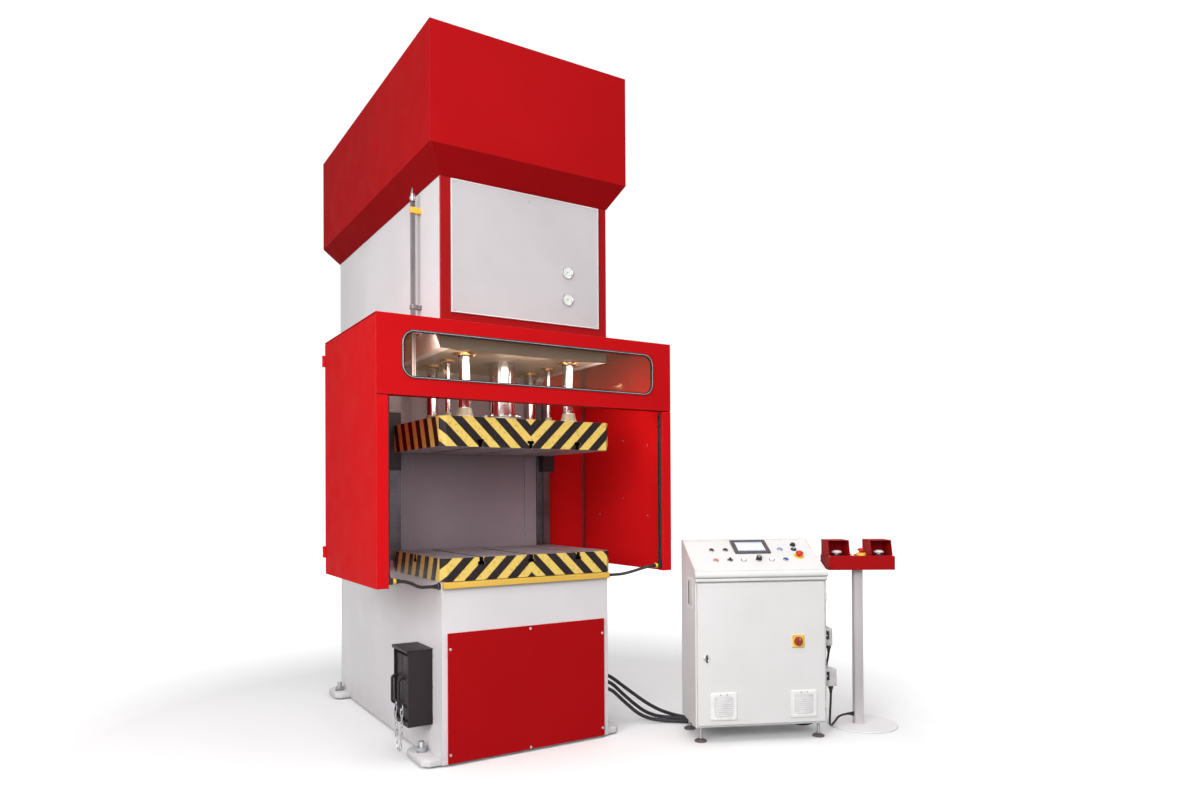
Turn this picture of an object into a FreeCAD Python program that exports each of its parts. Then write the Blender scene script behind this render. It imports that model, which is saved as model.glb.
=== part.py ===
import FreeCAD, Part
import math
import os

# Hydraulic C-frame press with its guard, its control desk and its two-hand stand.
# Millimetres. X runs right along the front, Y runs into the machine, Z is up.
# The origin is on the floor under the axis of the main ram.

os.makedirs("parts", exist_ok=True)
V = FreeCAD.Vector

# ---------------------------------------------------------------- press frame
FRAME_W = 940.0            # across the two side plates
FRAME_FRONT = 315.0        # ram axis to the front face
FRAME_DEPTH = 1800.0       # front face to back face
SIDE_T = 50.0              # side plate
SKIN_T = 12.0              # front skins of the base and the head
FLOOR_GAP = 10.0           # frame stands this high on its levelling pads
TABLE_SEAT = 888.0         # top of the base box
THROAT_DEPTH = 732.0       # front face to the wall of the throat
THROAT_R = 55.0            # corner radius of the throat
HEAD_Z = 2010.0            # underside of the head
DECK_TOP = 2865.0          # deck that carries tank and motor
SEAT_T = 50.0              # plate under the bolster table
BED_T = 60.0               # plate that carries the main cylinder
DECK_T = 30.0
WALL_T = 20.0              # rear wall and throat wall
WALL_STEP = 15.0           # recess of the throat wall's middle field
WALL_FIELD = FRAME_W / 2.0 - 118.0   # half width of that field
FOOT_L = 200.0
FOOT_W = 75.0
FOOT_T = 30.0
FOOT_CUT = 30.0            # corner cut of a foot
FOOT_FRONT_Y = -240.0      # front end of the front feet
STUD_R = 15.0              # levelling screw
STUD_CLEAR = 0.5
NUT_AF = 46.0
NUT_H = 24.0
PAD_R = 32.0
STUD_TOP = 92.0

# ---------------------------------------------------------------- table and ram
BED_W = FRAME_W + 20.0     # bolster table and ram plate
TABLE_TOP = 1000.0
TABLE_FRONT = 340.0
TABLE_BACK = 350.0
CORNER_CUT = 28.0          # chamfer of the vertical corners
SLOT_NECK = 22.0           # T-slots
SLOT_WIDE = 37.0
SLOT_NECK_H = 22.0
SLOT_WIDE_H = 16.0
SLOT_PITCH = 275.0
CROSS_SLOT_Y = 25.0
RAM_UNDER = 1536.0         # underside of the ram at the top of its stroke
RAM_T = 147.0
RAM_FRONT = 337.0
ROD_R = 70.0               # main piston rod
ROD_FOOT_R = 110.0
ROD_FOOT_H = 35.0
PISTON_R = 109.7
PISTON_H = 80.0
BORE_CLEAR = 0.3
CYL_R = 145.0
CYL_FLANGE_R = 200.0
CYL_FLANGE_H = 50.0
CYL_NOSE_R = 105.0
CYL_TOP = DECK_TOP - 65.0
CYL_END = 40.0             # thickness of the cylinder's closed end
PISTON_Z = CYL_TOP - CYL_END - PISTON_H - 30.0
GLAND_H = 60.0             # gland above the bed plate
COLUMN_R = 30.0            # four guide columns
COLUMN_X = 300.0
COLUMN_FRONT_Y = -200.0
COLUMN_BACK_Y = 250.0
COLUMN_TOP = DECK_TOP - 225.0
COLUMN_FOOT_R = 48.0
COLUMN_FOOT_H = 12.0
COLUMN_CONE_H = 42.0
THIN_R = 14.0              # two thin balance rods
THIN_FOOT_R = 28.0
THIN_Y = 25.0
BUSH_WALL = 14.0
BUSH_LIP = 12.0
BUSH_LEN = 100.0
RUN_CLEAR = 0.06           # running fit of a rod in its bush
SEAT_CLEAR = 0.3           # gap between plain parts that don't touch

# ---------------------------------------------------------------- guides
RAIL_IN = FRAME_W / 2.0 - 12.0       # guide rail, distance from the middle plane
RAIL_OUT = FRAME_W / 2.0 + 30.0
RAIL_FOOT_IN = FRAME_W / 2.0 - 45.0
RAIL_FOOT_T = 10.0
RAIL_PROUD = 37.0
RAIL_LOW = TABLE_SEAT + THROAT_R + 3.0
RAIL_TOP = HEAD_Z - THROAT_R - 3.0
SHOE_CHEEK = 16.0
SHOE_LOW = 1440.0
SHOE_H = 315.0
SHOE_LEG = 26.0            # how far the cheeks reach along the rail

# ---------------------------------------------------------------- front panels
STRIP_W = FRAME_W - 4.0    # yellow strip under the table
STRIP_H = 32.0
STRIP_GAP = 3.0
STRIP_T = 25.0
LOW_PANEL_W = FRAME_W - 56.0
LOW_PANEL_Z0 = 14.0
LOW_PANEL_Z1 = TABLE_SEAT - 250.0
HEAD_PANEL_W = FRAME_W - 104.0
HEAD_PANEL_Z0 = HEAD_Z + 174.0
HEAD_PANEL_Z1 = DECK_TOP - 35.0
PANEL_PROUD = 9.0
PANEL_T = 2.5
GAUGE_X = 225.0
GAUGE_Z = (HEAD_Z + 451.0, HEAD_Z + 310.0)
GAUGE_R = 34.0
GAUGE_BODY_R = 30.0
GAUGE_STEM_R = 7.0
GAUGE_BEZEL = 8.0
GAUGE_DEPTH = 46.0
SCREW_R = 4.0
SCREW_HEAD_R = 8.5
SCREW_HEAD_H = 4.0
SCREW_CLEAR = 0.3

# ---------------------------------------------------------------- top cover
COVER_SKIRT_Z = DECK_TOP - 27.0     # where the skirt meets the frame
COVER_EDGE_Z = DECK_TOP + 91.0      # lower edge of the box
COVER_TOP_Z = DECK_TOP + 667.0
COVER_SIDE = 80.0          # overhang at the sides
COVER_FRONT = 78.0
COVER_BACK = 122.0
COVER_T = 4.0
TANK_FRONT_Y = 520.0
TANK_BACK_Y = 1440.0
TANK_W = FRAME_W - 100.0
TANK_H = 300.0
TANK_LID_T = 8.0
TANK_WALL = 5.0
MOTOR_R = 145.0
MOTOR_L = 430.0
MOTOR_Y = 800.0            # front end of the motor
MOTOR_FINS = 8
BLOCK_W = 300.0            # valve block on the deck
BLOCK_D = 220.0
BLOCK_H = 180.0

# ---------------------------------------------------------------- guard
GUARD_W = FRAME_W + 694.0
GUARD_FRONT = 425.0
GUARD_BACK = 480.0
GUARD_TOP = 2123.0
GUARD_LOW = 884.0
FASCIA_LOW = 1756.0
SHEET = 4.0                # guard sheet
FASCIA_RETURN = 60.0
COLUMN_FACE = 55.0         # width of a door's front return
COLUMN_DEEP = 40.0
DOOR_EDGE = 40.0           # folded edges of a door
DOOR_GAP = 4.0             # door to hood
WINDOW_HALF = GUARD_W / 2.0 - 127.0
WINDOW_LOW = 1844.0
WINDOW_TOP = 2048.0
WINDOW_R = 52.0
GASKET_LIP = 10.0
GASKET_GRIP = 4.0          # how far the pane sits in the gasket
GASKET_PROUD = 5.0
HINGE_OUT = 5.0            # hinge axis outside the door face
HINGE_BACK = 9.0           # hinge axis behind the door edge
HINGE_R = 8.0
HINGE_PIN_R = 4.0
HINGE_Z = (1000.0, 2025.0)
HINGE_H = 60.0
HINGE_LEAF = 45.0
CURTAIN_W = 22.0
CURTAIN_D = 32.0
CURTAIN_LOW = 900.0
CURTAIN_TOP = 1745.0

# ---------------------------------------------------------------- left side
SENSOR_Y = -50.0
SENSOR_X = FRAME_W / 2.0 + 36.0      # distance of the profile from the middle plane
SENSOR_W = 28.0
SENSOR_LOW = 1800.0
SENSOR_TOP = DECK_TOP - 105.0
SENSOR_PLUG_R = 12.0
SENSOR_PLUG_H = 68.0
CLAMP_Z = (SENSOR_TOP - 47.0, SENSOR_TOP - 510.0)
CLAMP_H = 42.0
HOLDER_W = 125.0           # box for the two safety props
HOLDER_Y0 = -190.0
HOLDER_Y1 = 20.0
HOLDER_Z0 = 180.0
HOLDER_Z1 = 552.0
HOLDER_T = 3.0
HOLDER_LID = 8.0           # overhang of its lid
PROP_W = 90.0
PROP_D = 108.0
PROP_H = 335.0
GRIP_R = 6.0
GRIP_OUT = 38.0
GRIP_LOW = 90.0            # handle above the prop's foot
GRIP_H = 140.0
LINK_WIRE_R = 2.5          # zinc chain between the handles
LINK_PITCH = 30.0
LINK_W = 12.0              # across the centre lines of its two sides
LINK_SIDES = 5
LINK_PLAY = 0.3
LINK_STEPS = 3             # flats of a link's bow
RING_R = 13.0              # centre line of the ring on a handle
RING_SIDES = 12
CHAIN_LINKS = 15

# ---------------------------------------------------------------- control desk
DESK_X = 780.0             # its front left corner on the floor
DESK_Y = -683.0
DESK_TURN = -24.6
DESK_W = 715.0
DESK_D = 320.0
DESK_FOOT = 80.0
DESK_LIP_Z = 890.0
DESK_BACK_Z = 1044.0
DESK_TOP_D = 296.0         # depth of the slope
DESK_LIP_H = 24.0
DESK_STEP = 8.0
DESK_WALL = 3.0
DESK_DOOR_T = 12.0
DESK_DOOR_TOP = 836.0
DESK_DOOR_LOW = 92.0
DESK_FRAME = 28.0          # frame round the door opening
ROW_UP = 218.0             # control rows, measured up the slope
ROW_LOW = 115.0
DISPLAY_A = 363.5
DISPLAY_S = 249.0
DISPLAY_W = 202.0
DISPLAY_H = 138.0
BUTTON_R = 11.0
COLLAR_R = 15.0
COLLAR_H = 5.0
BUTTON_PROUD = 4.0
BUTTON_HOLE = 11.3
LOCK_A = 57.0
LOCK_Z = 442.0
SWITCH_A = 554.0
SWITCH_Z = 520.0
SWITCH_PLATE = 66.0
SHAFT_R = 9.0              # shafts of the lock and the main switch
VENT_A = (147.0, 583.0)
VENT_Z = 190.0
VENT_W = 140.0
VENT_SLOTS = 6
DESK_FOOT_R = 25.0
PLUG_Z = (530.0, 312.0)
PLUG_B = 62.0
PLUG_W = 44.0
PLUG_H = 118.0
PLUG_OUT = (48.0, 70.0)
ENTRY_A = (180.0, 250.0, 320.0, 560.0)
ENTRY_B = 250.0
ENTRY_Z = 200.0            # where the cables meet their glands
ENTRY_RISE = 110.0         # their upright last run
LEAD_RISE = 64.0

# ---------------------------------------------------------------- two-hand stand
STAND_X = 1796.0
STAND_Y = -897.0
STAND_TURN = -32.0
STAND_R = 190.0
STAND_T = 8.0
POLE_W = 50.0
POLE_WALL = 4.0
POLE_SHIFT = -22.0
TRAY_W = 364.0
TRAY_D = 180.0
TRAY_LOW = 876.0
TRAY_H = 76.0
HOOD_W = 118.0
HOOD_H = 86.0
HOOD_T = 2.5
HOOD_LEAN = 26.0
PALM_R = 28.0
PALM_A = 118.0

# ---------------------------------------------------------------- cables
CABLE_R = 10.0
LEAD_R = 6.0
CURTAIN_LEAD_R = 8.0
GLAND_R = 16.0
GLAND_L = 12.0


WIDE_SIDES = 24            # flat sides of a large turned piece
SIDES = 16
CABLE_SIDES = 8
BEND_STEP = 24.0           # largest turn of one facet along a bent bar
BUTTON_SIDES = 10
SCREW_SIDES = 8
WINDOW_STEPS = 5           # flats of a rounded corner of the window
HEX = 6


# ================================================================ helpers
def block(x0, x1, y0, y1, z0, z1):
    return Part.makeBox(x1 - x0, y1 - y0, z1 - z0, V(x0, y0, z0))


def rod(radius, start, end):
    return Part.makeCylinder(radius, (end - start).Length, start, end - start)


def ring_points(radius, height, sides):
    step = 2.0 * math.pi / sides
    return [V(radius * math.cos(k * step), radius * math.sin(k * step), height) for k in range(sides)]


def between_rings(low, high):
    # flat faces between two rings of as many points, or from a ring to the one point of the other
    faces = []
    count = max(len(low), len(high))
    for k in range(count):
        corners = [low[k % len(low)], low[(k + 1) % len(low)], high[(k + 1) % len(high)],
                   high[k % len(high)]]
        outline = [c for n, c in enumerate(corners) if (c - corners[n - 1]).Length > 1e-6]
        faces.append(Part.Face(Part.makePolygon(outline + [outline[0]])))
    return faces


def faceted(profile, sides=SIDES):
    # a turned piece about the Z axis with flat sides; the profile is (radius, height) pairs
    rings = [ring_points(r, h, sides) if r > 0 else [V(0, 0, h)] for r, h in profile]
    faces = []
    for low, high in zip(rings, rings[1:] + rings[:1]):
        if len(low) > 1 or len(high) > 1:
            faces += between_rings(low, high)
    solid = Part.Solid(Part.Shell(faces))
    if solid.Volume < 0:
        solid.reverse()
    return solid.removeSplitter()


def stood(shape, start, direction):
    # a piece made about the Z axis, moved to start and turned to point along the direction
    moved = shape.copy()
    moved.Placement = FreeCAD.Placement(start, FreeCAD.Rotation(V(0, 0, 1), direction))
    return moved


def pin(radius, start, end, sides=SIDES):
    # round bar of small diameter
    long = (end - start).Length
    return stood(faceted([(0, 0), (radius, 0), (radius, long), (0, long)], sides), start, end - start)


def hole(radius, start, end, sides=BUTTON_SIDES):
    # a flat-sided hole that just clears a round shaft of this radius
    return pin(radius / math.cos(math.pi / sides), start, end, sides)


def taper(radius_0, radius_1, start, end, sides=SIDES):
    long = (end - start).Length
    return stood(faceted([(0, 0), (radius_0, 0), (radius_1, long), (0, long)], sides), start, end - start)


def fused(*shapes):
    return shapes[0].multiFuse(list(shapes[1:])).removeSplitter()


def group(shapes):
    return Part.makeCompound(list(shapes))


def mirrored(shape):
    return shape.mirror(V(0, 0, 0), V(1, 0, 0))


def prism(points, push):
    face = Part.Face(Part.makePolygon(points + [points[0]]))
    return face.extrude(push)


def hexagon(across, start, push):
    radius = across / math.sqrt(3.0)
    points = []
    for corner in range(6):
        angle = math.radians(60.0 * corner)
        points.append(start + V(radius * math.cos(angle), radius * math.sin(angle), 0))
    return prism(points, push)


def rounded_window(half, low, top, radius, y0, y1):
    # a rounded rectangle in the plane of the front, pushed from y0 to y1
    outline = []
    for corner in range(4):
        x = (half - radius) * (1 if corner in (0, 3) else -1)
        z = top - radius if corner < 2 else low + radius
        for step in range(WINDOW_STEPS + 1):
            angle = math.pi / 2.0 * (corner + step / WINDOW_STEPS)
            outline.append(V(x + radius * math.cos(angle), y0, z + radius * math.sin(angle)))
    return prism(outline, V(0, y1 - y0, 0))


def save(name, shape):
    shape.exportStep("parts/" + name + ".step")


def bend_path(points, share):
    # the points of straight runs joined by tangent arcs; an arc takes this share of its shorter run
    path = [points[0]]
    radii = []
    length = 0.0
    for before, corner, after in zip(points, points[1:], points[2:]):
        back = before - corner
        ahead = after - corner
        reach = share * min(back.Length, ahead.Length)
        back.normalize()
        ahead.normalize()
        turn = math.pi - back.getAngle(ahead)
        bend = reach / math.tan(turn / 2.0)
        middle = back + ahead
        middle.normalize()
        centre = corner + middle * math.hypot(bend, reach)
        spoke = corner + back * reach - centre
        steps = max(2, math.ceil(math.degrees(turn) / BEND_STEP))
        for k in range(steps + 1):
            turned = FreeCAD.Rotation(ahead.cross(back), math.degrees(turn) * k / steps)
            path.append(centre + turned.multVec(spoke))
        length += reach * -2.0 + bend * turn
        radii.append(bend)
    path.append(points[-1])
    length += sum((b - a).Length for a, b in zip(points, points[1:]))
    return path, length, radii


def swept(path, radius, sides, closed=False):
    # a bar of even section along a path of straight pieces, mitred at each point
    count = len(path)
    ways = [path[(k + 1) % count] - path[k] for k in range(count if closed else count - 1)]
    for way in ways:
        way.normalize()
    middle = (path[0] + path[1]) * 0.5
    ring = [FreeCAD.Rotation(V(0, 0, 1), ways[0]).multVec(p) + middle
            for p in ring_points(radius, 0.0, sides)]
    rings = [[p - ways[0] * (p - path[0]).dot(ways[0]) for p in ring]] if not closed else []
    for k in range(1, count + (1 if closed else 0)):
        way = ways[k - 1]
        after = ways[k % len(ways)] if closed or k < count - 1 else way
        mitre = way + after
        ring = [p + way * ((path[k % count] - p).dot(mitre) / way.dot(mitre)) for p in ring]
        rings.append(ring)
    faces = []
    for low, high in zip(rings, rings[1:]):
        faces += between_rings(low, high)
    if closed:
        faces += between_rings(rings[-1], rings[0])
    else:
        faces += [Part.Face(Part.makePolygon(end + [end[0]])) for end in (rings[0], rings[-1])]
    solid = Part.Solid(Part.Shell(faces))
    if solid.Volume < 0:
        solid.reverse()
    return solid


def cable(points, radius, name):
    path, length, radii = bend_path(points, 0.45)
    tube = swept(path, radius, CABLE_SIDES)
    section = 0.5 * CABLE_SIDES * radius * radius * math.sin(2.0 * math.pi / CABLE_SIDES)
    print(name, "length %.0f" % length, "least radius %.0f" % min(radii),
          "volume ratio %.4f" % (tube.Volume / (section * length)), "valid", tube.isValid())
    return tube


# ================================================================ derived places
HALF = FRAME_W / 2.0
FRONT_Y = -FRAME_FRONT
BACK_Y = FRAME_DEPTH - FRAME_FRONT
THROAT_Y = THROAT_DEPTH - FRAME_FRONT
INNER = HALF - SIDE_T
BED_HALF = BED_W / 2.0
RAM_TOP = RAM_UNDER + RAM_T
PLATE_Y = FRONT_Y + SKIN_T
GUARD_HALF = GUARD_W / 2.0
GUARD_Y = -GUARD_FRONT
COLUMN_PLACES = [(sx * COLUMN_X, y) for y in (COLUMN_FRONT_Y, COLUMN_BACK_Y) for sx in (-1, 1)]
THIN_PLACES = [(sx * COLUMN_X, THIN_Y) for sx in (-1, 1)]
FOOT_PLACES = (FOOT_FRONT_Y, BACK_Y - FOOT_L)
LOW_SCREWS = [(sx * (LOW_PANEL_W / 2.0 - 12.0), z) for sx in (-1, 1)
              for z in (LOW_PANEL_Z0 + 48.0, LOW_PANEL_Z1 - 78.0)]
LOW_SCREWS += [(0.0, LOW_PANEL_Z0 + 16.0), (0.0, LOW_PANEL_Z1 - 16.0)]
HEAD_SCREWS = [(sx * x, z) for x in (HEAD_PANEL_W / 2.0 - 14.0,) for sx in (-1, 1)
               for z in (HEAD_PANEL_Z0 + 14.0, HEAD_PANEL_Z1 - 14.0)]
HEAD_SCREWS += [(0.0, HEAD_PANEL_Z1 - 40.0)]
PANEL_Y = FRONT_Y - PANEL_PROUD


# ================================================================ press frame
def foot_plate(y0):
    # welded outside the side plate, with its outer corners cut
    x0 = HALF
    x1 = HALF + FOOT_W
    y1 = y0 + FOOT_L
    outline = [V(x0, y0, FLOOR_GAP), V(x1 - FOOT_CUT, y0, FLOOR_GAP), V(x1, y0 + FOOT_CUT, FLOOR_GAP),
               V(x1, y1 - FOOT_CUT, FLOOR_GAP), V(x1 - FOOT_CUT, y1, FLOOR_GAP), V(x0, y1, FLOOR_GAP)]
    plate = prism(outline, V(0, 0, FOOT_T))
    stud = stud_place(y0)
    return plate.cut(pin(STUD_R + STUD_CLEAR, stud, stud + V(0, 0, FLOOR_GAP + FOOT_T + 1.0), BUTTON_SIDES))


def stud_place(y0):
    return V(HALF + FOOT_W * 0.52, y0 + FOOT_L / 2.0, 0)


def frame_side():
    plate = block(INNER, HALF, PLATE_Y, BACK_Y, FLOOR_GAP, DECK_TOP)
    throat = block(INNER - SIDE_T, HALF + SIDE_T, PLATE_Y - SIDE_T, THROAT_Y, TABLE_SEAT, HEAD_Z)
    corners = [e for e in throat.Edges
               if abs(e.CenterOfMass.y - THROAT_Y) < 0.1 and abs(e.tangentAt(e.FirstParameter).x) > 0.99]
    plate = plate.cut(throat.makeFillet(THROAT_R, corners))
    for y0 in FOOT_PLACES:
        plate = plate.fuse(foot_plate(y0))
    return plate.removeSplitter()


def gauge_holes(y0, y1):
    return [hole(GAUGE_BODY_R + SCREW_CLEAR, V(GAUGE_X, y0, z), V(GAUGE_X, y1, z)) for z in GAUGE_Z]


def screw_holes(places, y0, y1):
    return [pin(SCREW_R + SCREW_CLEAR, V(x, y0, z), V(x, y1, z), HEX) for x, z in places]


def frame_base():
    floor = block(-INNER, INNER, PLATE_Y, BACK_Y - WALL_T, FLOOR_GAP, FLOOR_GAP + DECK_T)
    wall_back = THROAT_Y + WALL_STEP + WALL_T
    seat = block(-INNER, INNER, PLATE_Y, wall_back, TABLE_SEAT - SEAT_T, TABLE_SEAT)
    skin = block(-HALF, HALF, FRONT_Y, PLATE_Y, FLOOR_GAP, TABLE_SEAT)
    rear = block(-INNER, INNER, BACK_Y - WALL_T, BACK_Y, FLOOR_GAP, DECK_TOP)
    holes = screw_holes(LOW_SCREWS, FRONT_Y - 1.0, PLATE_Y + 1.0)
    return group([fused(floor, seat, rear, throat_wall()), skin.cut(group(holes))])


def frame_head():
    wall_back = THROAT_Y + WALL_STEP + WALL_T
    bed = block(-INNER, INNER, PLATE_Y, wall_back, HEAD_Z, HEAD_Z + BED_T)
    deck = block(-INNER, INNER, PLATE_Y, BACK_Y - WALL_T, DECK_TOP - DECK_T, DECK_TOP)
    skin = block(-HALF, HALF, FRONT_Y, PLATE_Y, HEAD_Z, DECK_TOP)
    low = HEAD_Z - 1.0
    high = HEAD_Z + BED_T + 1.0
    holes = [pin(CYL_NOSE_R + SEAT_CLEAR, V(0, 0, low), V(0, 0, high), WIDE_SIDES)]
    for radius, places in ((COLUMN_R, COLUMN_PLACES), (THIN_R, THIN_PLACES)):
        holes += [pin(radius + BUSH_WALL, V(x, y, low), V(x, y, high), SCREW_SIDES) for x, y in places]
    holes += gauge_holes(FRONT_Y - 1.0, PLATE_Y + 1.0)
    holes += screw_holes(HEAD_SCREWS, FRONT_Y - 1.0, PLATE_Y + 1.0)
    return fused(bed, deck, skin).cut(group(holes))


def throat_wall():
    back = THROAT_Y + WALL_STEP + WALL_T
    outline = [V(-INNER, THROAT_Y, TABLE_SEAT), V(-WALL_FIELD, THROAT_Y, TABLE_SEAT),
               V(-WALL_FIELD, THROAT_Y + WALL_STEP, TABLE_SEAT),
               V(WALL_FIELD, THROAT_Y + WALL_STEP, TABLE_SEAT),
               V(WALL_FIELD, THROAT_Y, TABLE_SEAT), V(INNER, THROAT_Y, TABLE_SEAT),
               V(INNER, back, TABLE_SEAT), V(-INNER, back, TABLE_SEAT)]
    return prism(outline, V(0, 0, HEAD_Z - TABLE_SEAT))


def levelling_screw(y0):
    place = stud_place(y0)
    pad = pin(PAD_R, place, place + V(0, 0, FLOOR_GAP), BUTTON_SIDES)
    shank = pin(STUD_R, place, place + V(0, 0, STUD_TOP), BUTTON_SIDES)
    nut = hexagon(NUT_AF, place + V(0, 0, FLOOR_GAP + FOOT_T), V(0, 0, NUT_H))
    return fused(pad, shank, nut)


save("frame_base", frame_base())
save("frame_head", frame_head())
STUDS = [levelling_screw(y0) for y0 in FOOT_PLACES]
save("levelling_screws", group(STUDS + [mirrored(s) for s in STUDS]))


# ================================================================ table and ram
def slot_along_y(x, face, up, y0, y1):
    # a T-slot opening at the height face; up is 1 where it opens upwards
    neck_low, neck_high = sorted((face + up, face - up * SLOT_NECK_H))
    wide_low, wide_high = sorted((face - up * SLOT_NECK_H, face - up * (SLOT_NECK_H + SLOT_WIDE_H)))
    neck = block(x - SLOT_NECK / 2.0, x + SLOT_NECK / 2.0, y0, y1, neck_low, neck_high)
    wide = block(x - SLOT_WIDE / 2.0, x + SLOT_WIDE / 2.0, y0, y1, wide_low, wide_high)
    return fused(neck, wide)


def bed_plate(front, back, low, high):
    plate = block(-BED_HALF, BED_HALF, -front, back, low, high)
    corners = [e for e in plate.Edges
               if abs(e.tangentAt(e.FirstParameter).z) > 0.99 and e.CenterOfMass.y < 0]
    return plate.makeChamfer(CORNER_CUT, corners)


def bolster_table():
    plate = bed_plate(TABLE_FRONT, TABLE_BACK, TABLE_SEAT, TABLE_TOP)
    slots = [slot_along_y(k * SLOT_PITCH, TABLE_TOP, 1, -TABLE_FRONT - 1, TABLE_BACK + 1)
             for k in (-1, 0, 1)]
    cross = slot_along_y(0, TABLE_TOP, 1, -BED_HALF - 1, BED_HALF + 1)
    cross.rotate(V(0, 0, 0), V(0, 0, 1), 90)
    cross.translate(V(0, CROSS_SLOT_Y, 0))
    return plate.cut(fused(*(slots + [cross])))


def ram_plate():
    plate = bed_plate(RAM_FRONT, TABLE_BACK, RAM_UNDER, RAM_TOP)
    slots = [slot_along_y(k * SLOT_PITCH, RAM_UNDER, -1, -RAM_FRONT - 1, TABLE_BACK + 1)
             for k in (-1, 0, 1)]
    return plate.cut(group(slots))


def piston_rod():
    foot = pin(ROD_FOOT_R, V(0, 0, RAM_TOP), V(0, 0, RAM_TOP + ROD_FOOT_H), WIDE_SIDES)
    piston = pin(PISTON_R, V(0, 0, PISTON_Z), V(0, 0, PISTON_Z + PISTON_H), WIDE_SIDES)
    return fused(rod(ROD_R, V(0, 0, RAM_TOP), V(0, 0, PISTON_Z + 1.0)), foot, piston)


def main_cylinder():
    bed_top = HEAD_Z + BED_T
    bore = PISTON_R + BORE_CLEAR
    body = faceted([(0, HEAD_Z), (CYL_NOSE_R, HEAD_Z), (CYL_NOSE_R, bed_top),
                    (CYL_FLANGE_R, bed_top), (CYL_FLANGE_R, bed_top + CYL_FLANGE_H),
                    (CYL_R, bed_top + CYL_FLANGE_H), (CYL_R, CYL_TOP), (0, CYL_TOP)], WIDE_SIDES)
    chamber = pin(bore, V(0, 0, bed_top + GLAND_H), V(0, 0, CYL_TOP - CYL_END), WIDE_SIDES)
    throat = rod(ROD_R + BORE_CLEAR, V(0, 0, HEAD_Z - 1.0), V(0, 0, bed_top + GLAND_H + 1.0))
    return body.cut(group([chamber, throat]))


def guide_column(radius, foot_radius, x, y):
    # a round bar in a flanged foot that tapers up to it
    flange = RAM_TOP + COLUMN_FOOT_H
    collar = flange + COLUMN_CONE_H
    foot = faceted([(0, RAM_TOP), (foot_radius, RAM_TOP), (foot_radius, flange),
                    (radius + 2.0, collar), (0, collar)], BUTTON_SIDES)
    foot.translate(V(x, y, 0))
    return fused(foot, rod(radius, V(x, y, RAM_TOP), V(x, y, COLUMN_TOP)))


def bush(radius, x, y):
    outer = radius + BUSH_WALL
    low = HEAD_Z - BUSH_LIP
    body = faceted([(0, low), (outer + BUSH_LIP, low), (outer + BUSH_LIP, HEAD_Z),
                    (outer, HEAD_Z), (outer, low + BUSH_LEN), (0, low + BUSH_LEN)], SCREW_SIDES)
    body.translate(V(x, y, 0))
    return body.cut(hole(radius + RUN_CLEAR, V(x, y, low - 1.0), V(x, y, low + BUSH_LEN + 1.0), SIDES))


save("bolster_table", bolster_table())
save("ram_plate", ram_plate())
save("piston_rod", piston_rod())
save("main_cylinder", main_cylinder())
save("guide_columns", group([guide_column(COLUMN_R, COLUMN_FOOT_R, x, y) for x, y in COLUMN_PLACES]
                            + [guide_column(THIN_R, THIN_FOOT_R, x, y) for x, y in THIN_PLACES]))
save("guide_bushes", group([bush(COLUMN_R, x, y) for x, y in COLUMN_PLACES]
                           + [bush(THIN_R, x, y) for x, y in THIN_PLACES]))


# ================================================================ guides
def guide_rail():
    face = THROAT_Y - RAIL_PROUD
    foot = THROAT_Y - RAIL_FOOT_T
    outline = [V(RAIL_FOOT_IN, THROAT_Y, RAIL_LOW), V(RAIL_FOOT_IN, foot, RAIL_LOW),
               V(RAIL_IN, foot, RAIL_LOW), V(RAIL_IN, face, RAIL_LOW),
               V(RAIL_OUT, face, RAIL_LOW), V(RAIL_OUT, THROAT_Y, RAIL_LOW)]
    return prism(outline, V(0, 0, RAIL_TOP - RAIL_LOW))


def guide_shoe():
    face = THROAT_Y - RAIL_PROUD
    shoe = block(RAIL_IN - SEAT_CLEAR - SHOE_CHEEK, RAIL_OUT + SEAT_CLEAR + SHOE_CHEEK,
                 TABLE_BACK + SEAT_CLEAR, face + SHOE_LEG - SEAT_CLEAR, SHOE_LOW, SHOE_LOW + SHOE_H)
    channel = block(RAIL_IN - SEAT_CLEAR, RAIL_OUT + SEAT_CLEAR, face - SEAT_CLEAR,
                    face + SHOE_LEG + 1.0, SHOE_LOW - 1.0, SHOE_LOW + SHOE_H + 1.0)
    return shoe.cut(channel)


save("guide_rails", group([guide_rail(), mirrored(guide_rail())]))
save("guide_shoes", group([guide_shoe(), mirrored(guide_shoe())]))


# ================================================================ front panels
def folded_panel(width, low, high, screws):
    half = width / 2.0
    shell = block(-half, half, PANEL_Y, FRONT_Y, low, high)
    inside = block(-half + PANEL_T, half - PANEL_T, PANEL_Y + PANEL_T, FRONT_Y + 1.0,
                   low + PANEL_T, high - PANEL_T)
    return shell.cut(group([inside] + screw_holes(screws, PANEL_Y - 1.0, FRONT_Y)))


def screw(x, z):
    head = pin(SCREW_HEAD_R, V(x, PANEL_Y - SCREW_HEAD_H, z), V(x, PANEL_Y, z), SCREW_SIDES)
    return fused(head, pin(SCREW_R, V(x, PANEL_Y, z), V(x, PLATE_Y, z), HEX))


def gauge(z):
    face = PANEL_Y - GAUGE_BEZEL
    back = GAUGE_BEZEL + GAUGE_DEPTH
    profile = [(0, 3.0), (GAUGE_R - 6.0, 3.0), (GAUGE_R - 6.0, 0), (GAUGE_R - 3.0, 0),
               (GAUGE_R, GAUGE_BEZEL), (GAUGE_BODY_R, GAUGE_BEZEL), (GAUGE_BODY_R, back),
               (GAUGE_STEM_R, back), (GAUGE_STEM_R, back + 26.0), (0, back + 26.0)]
    return stood(faceted(profile), V(GAUGE_X, face, z), V(0, 1, 0))


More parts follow.
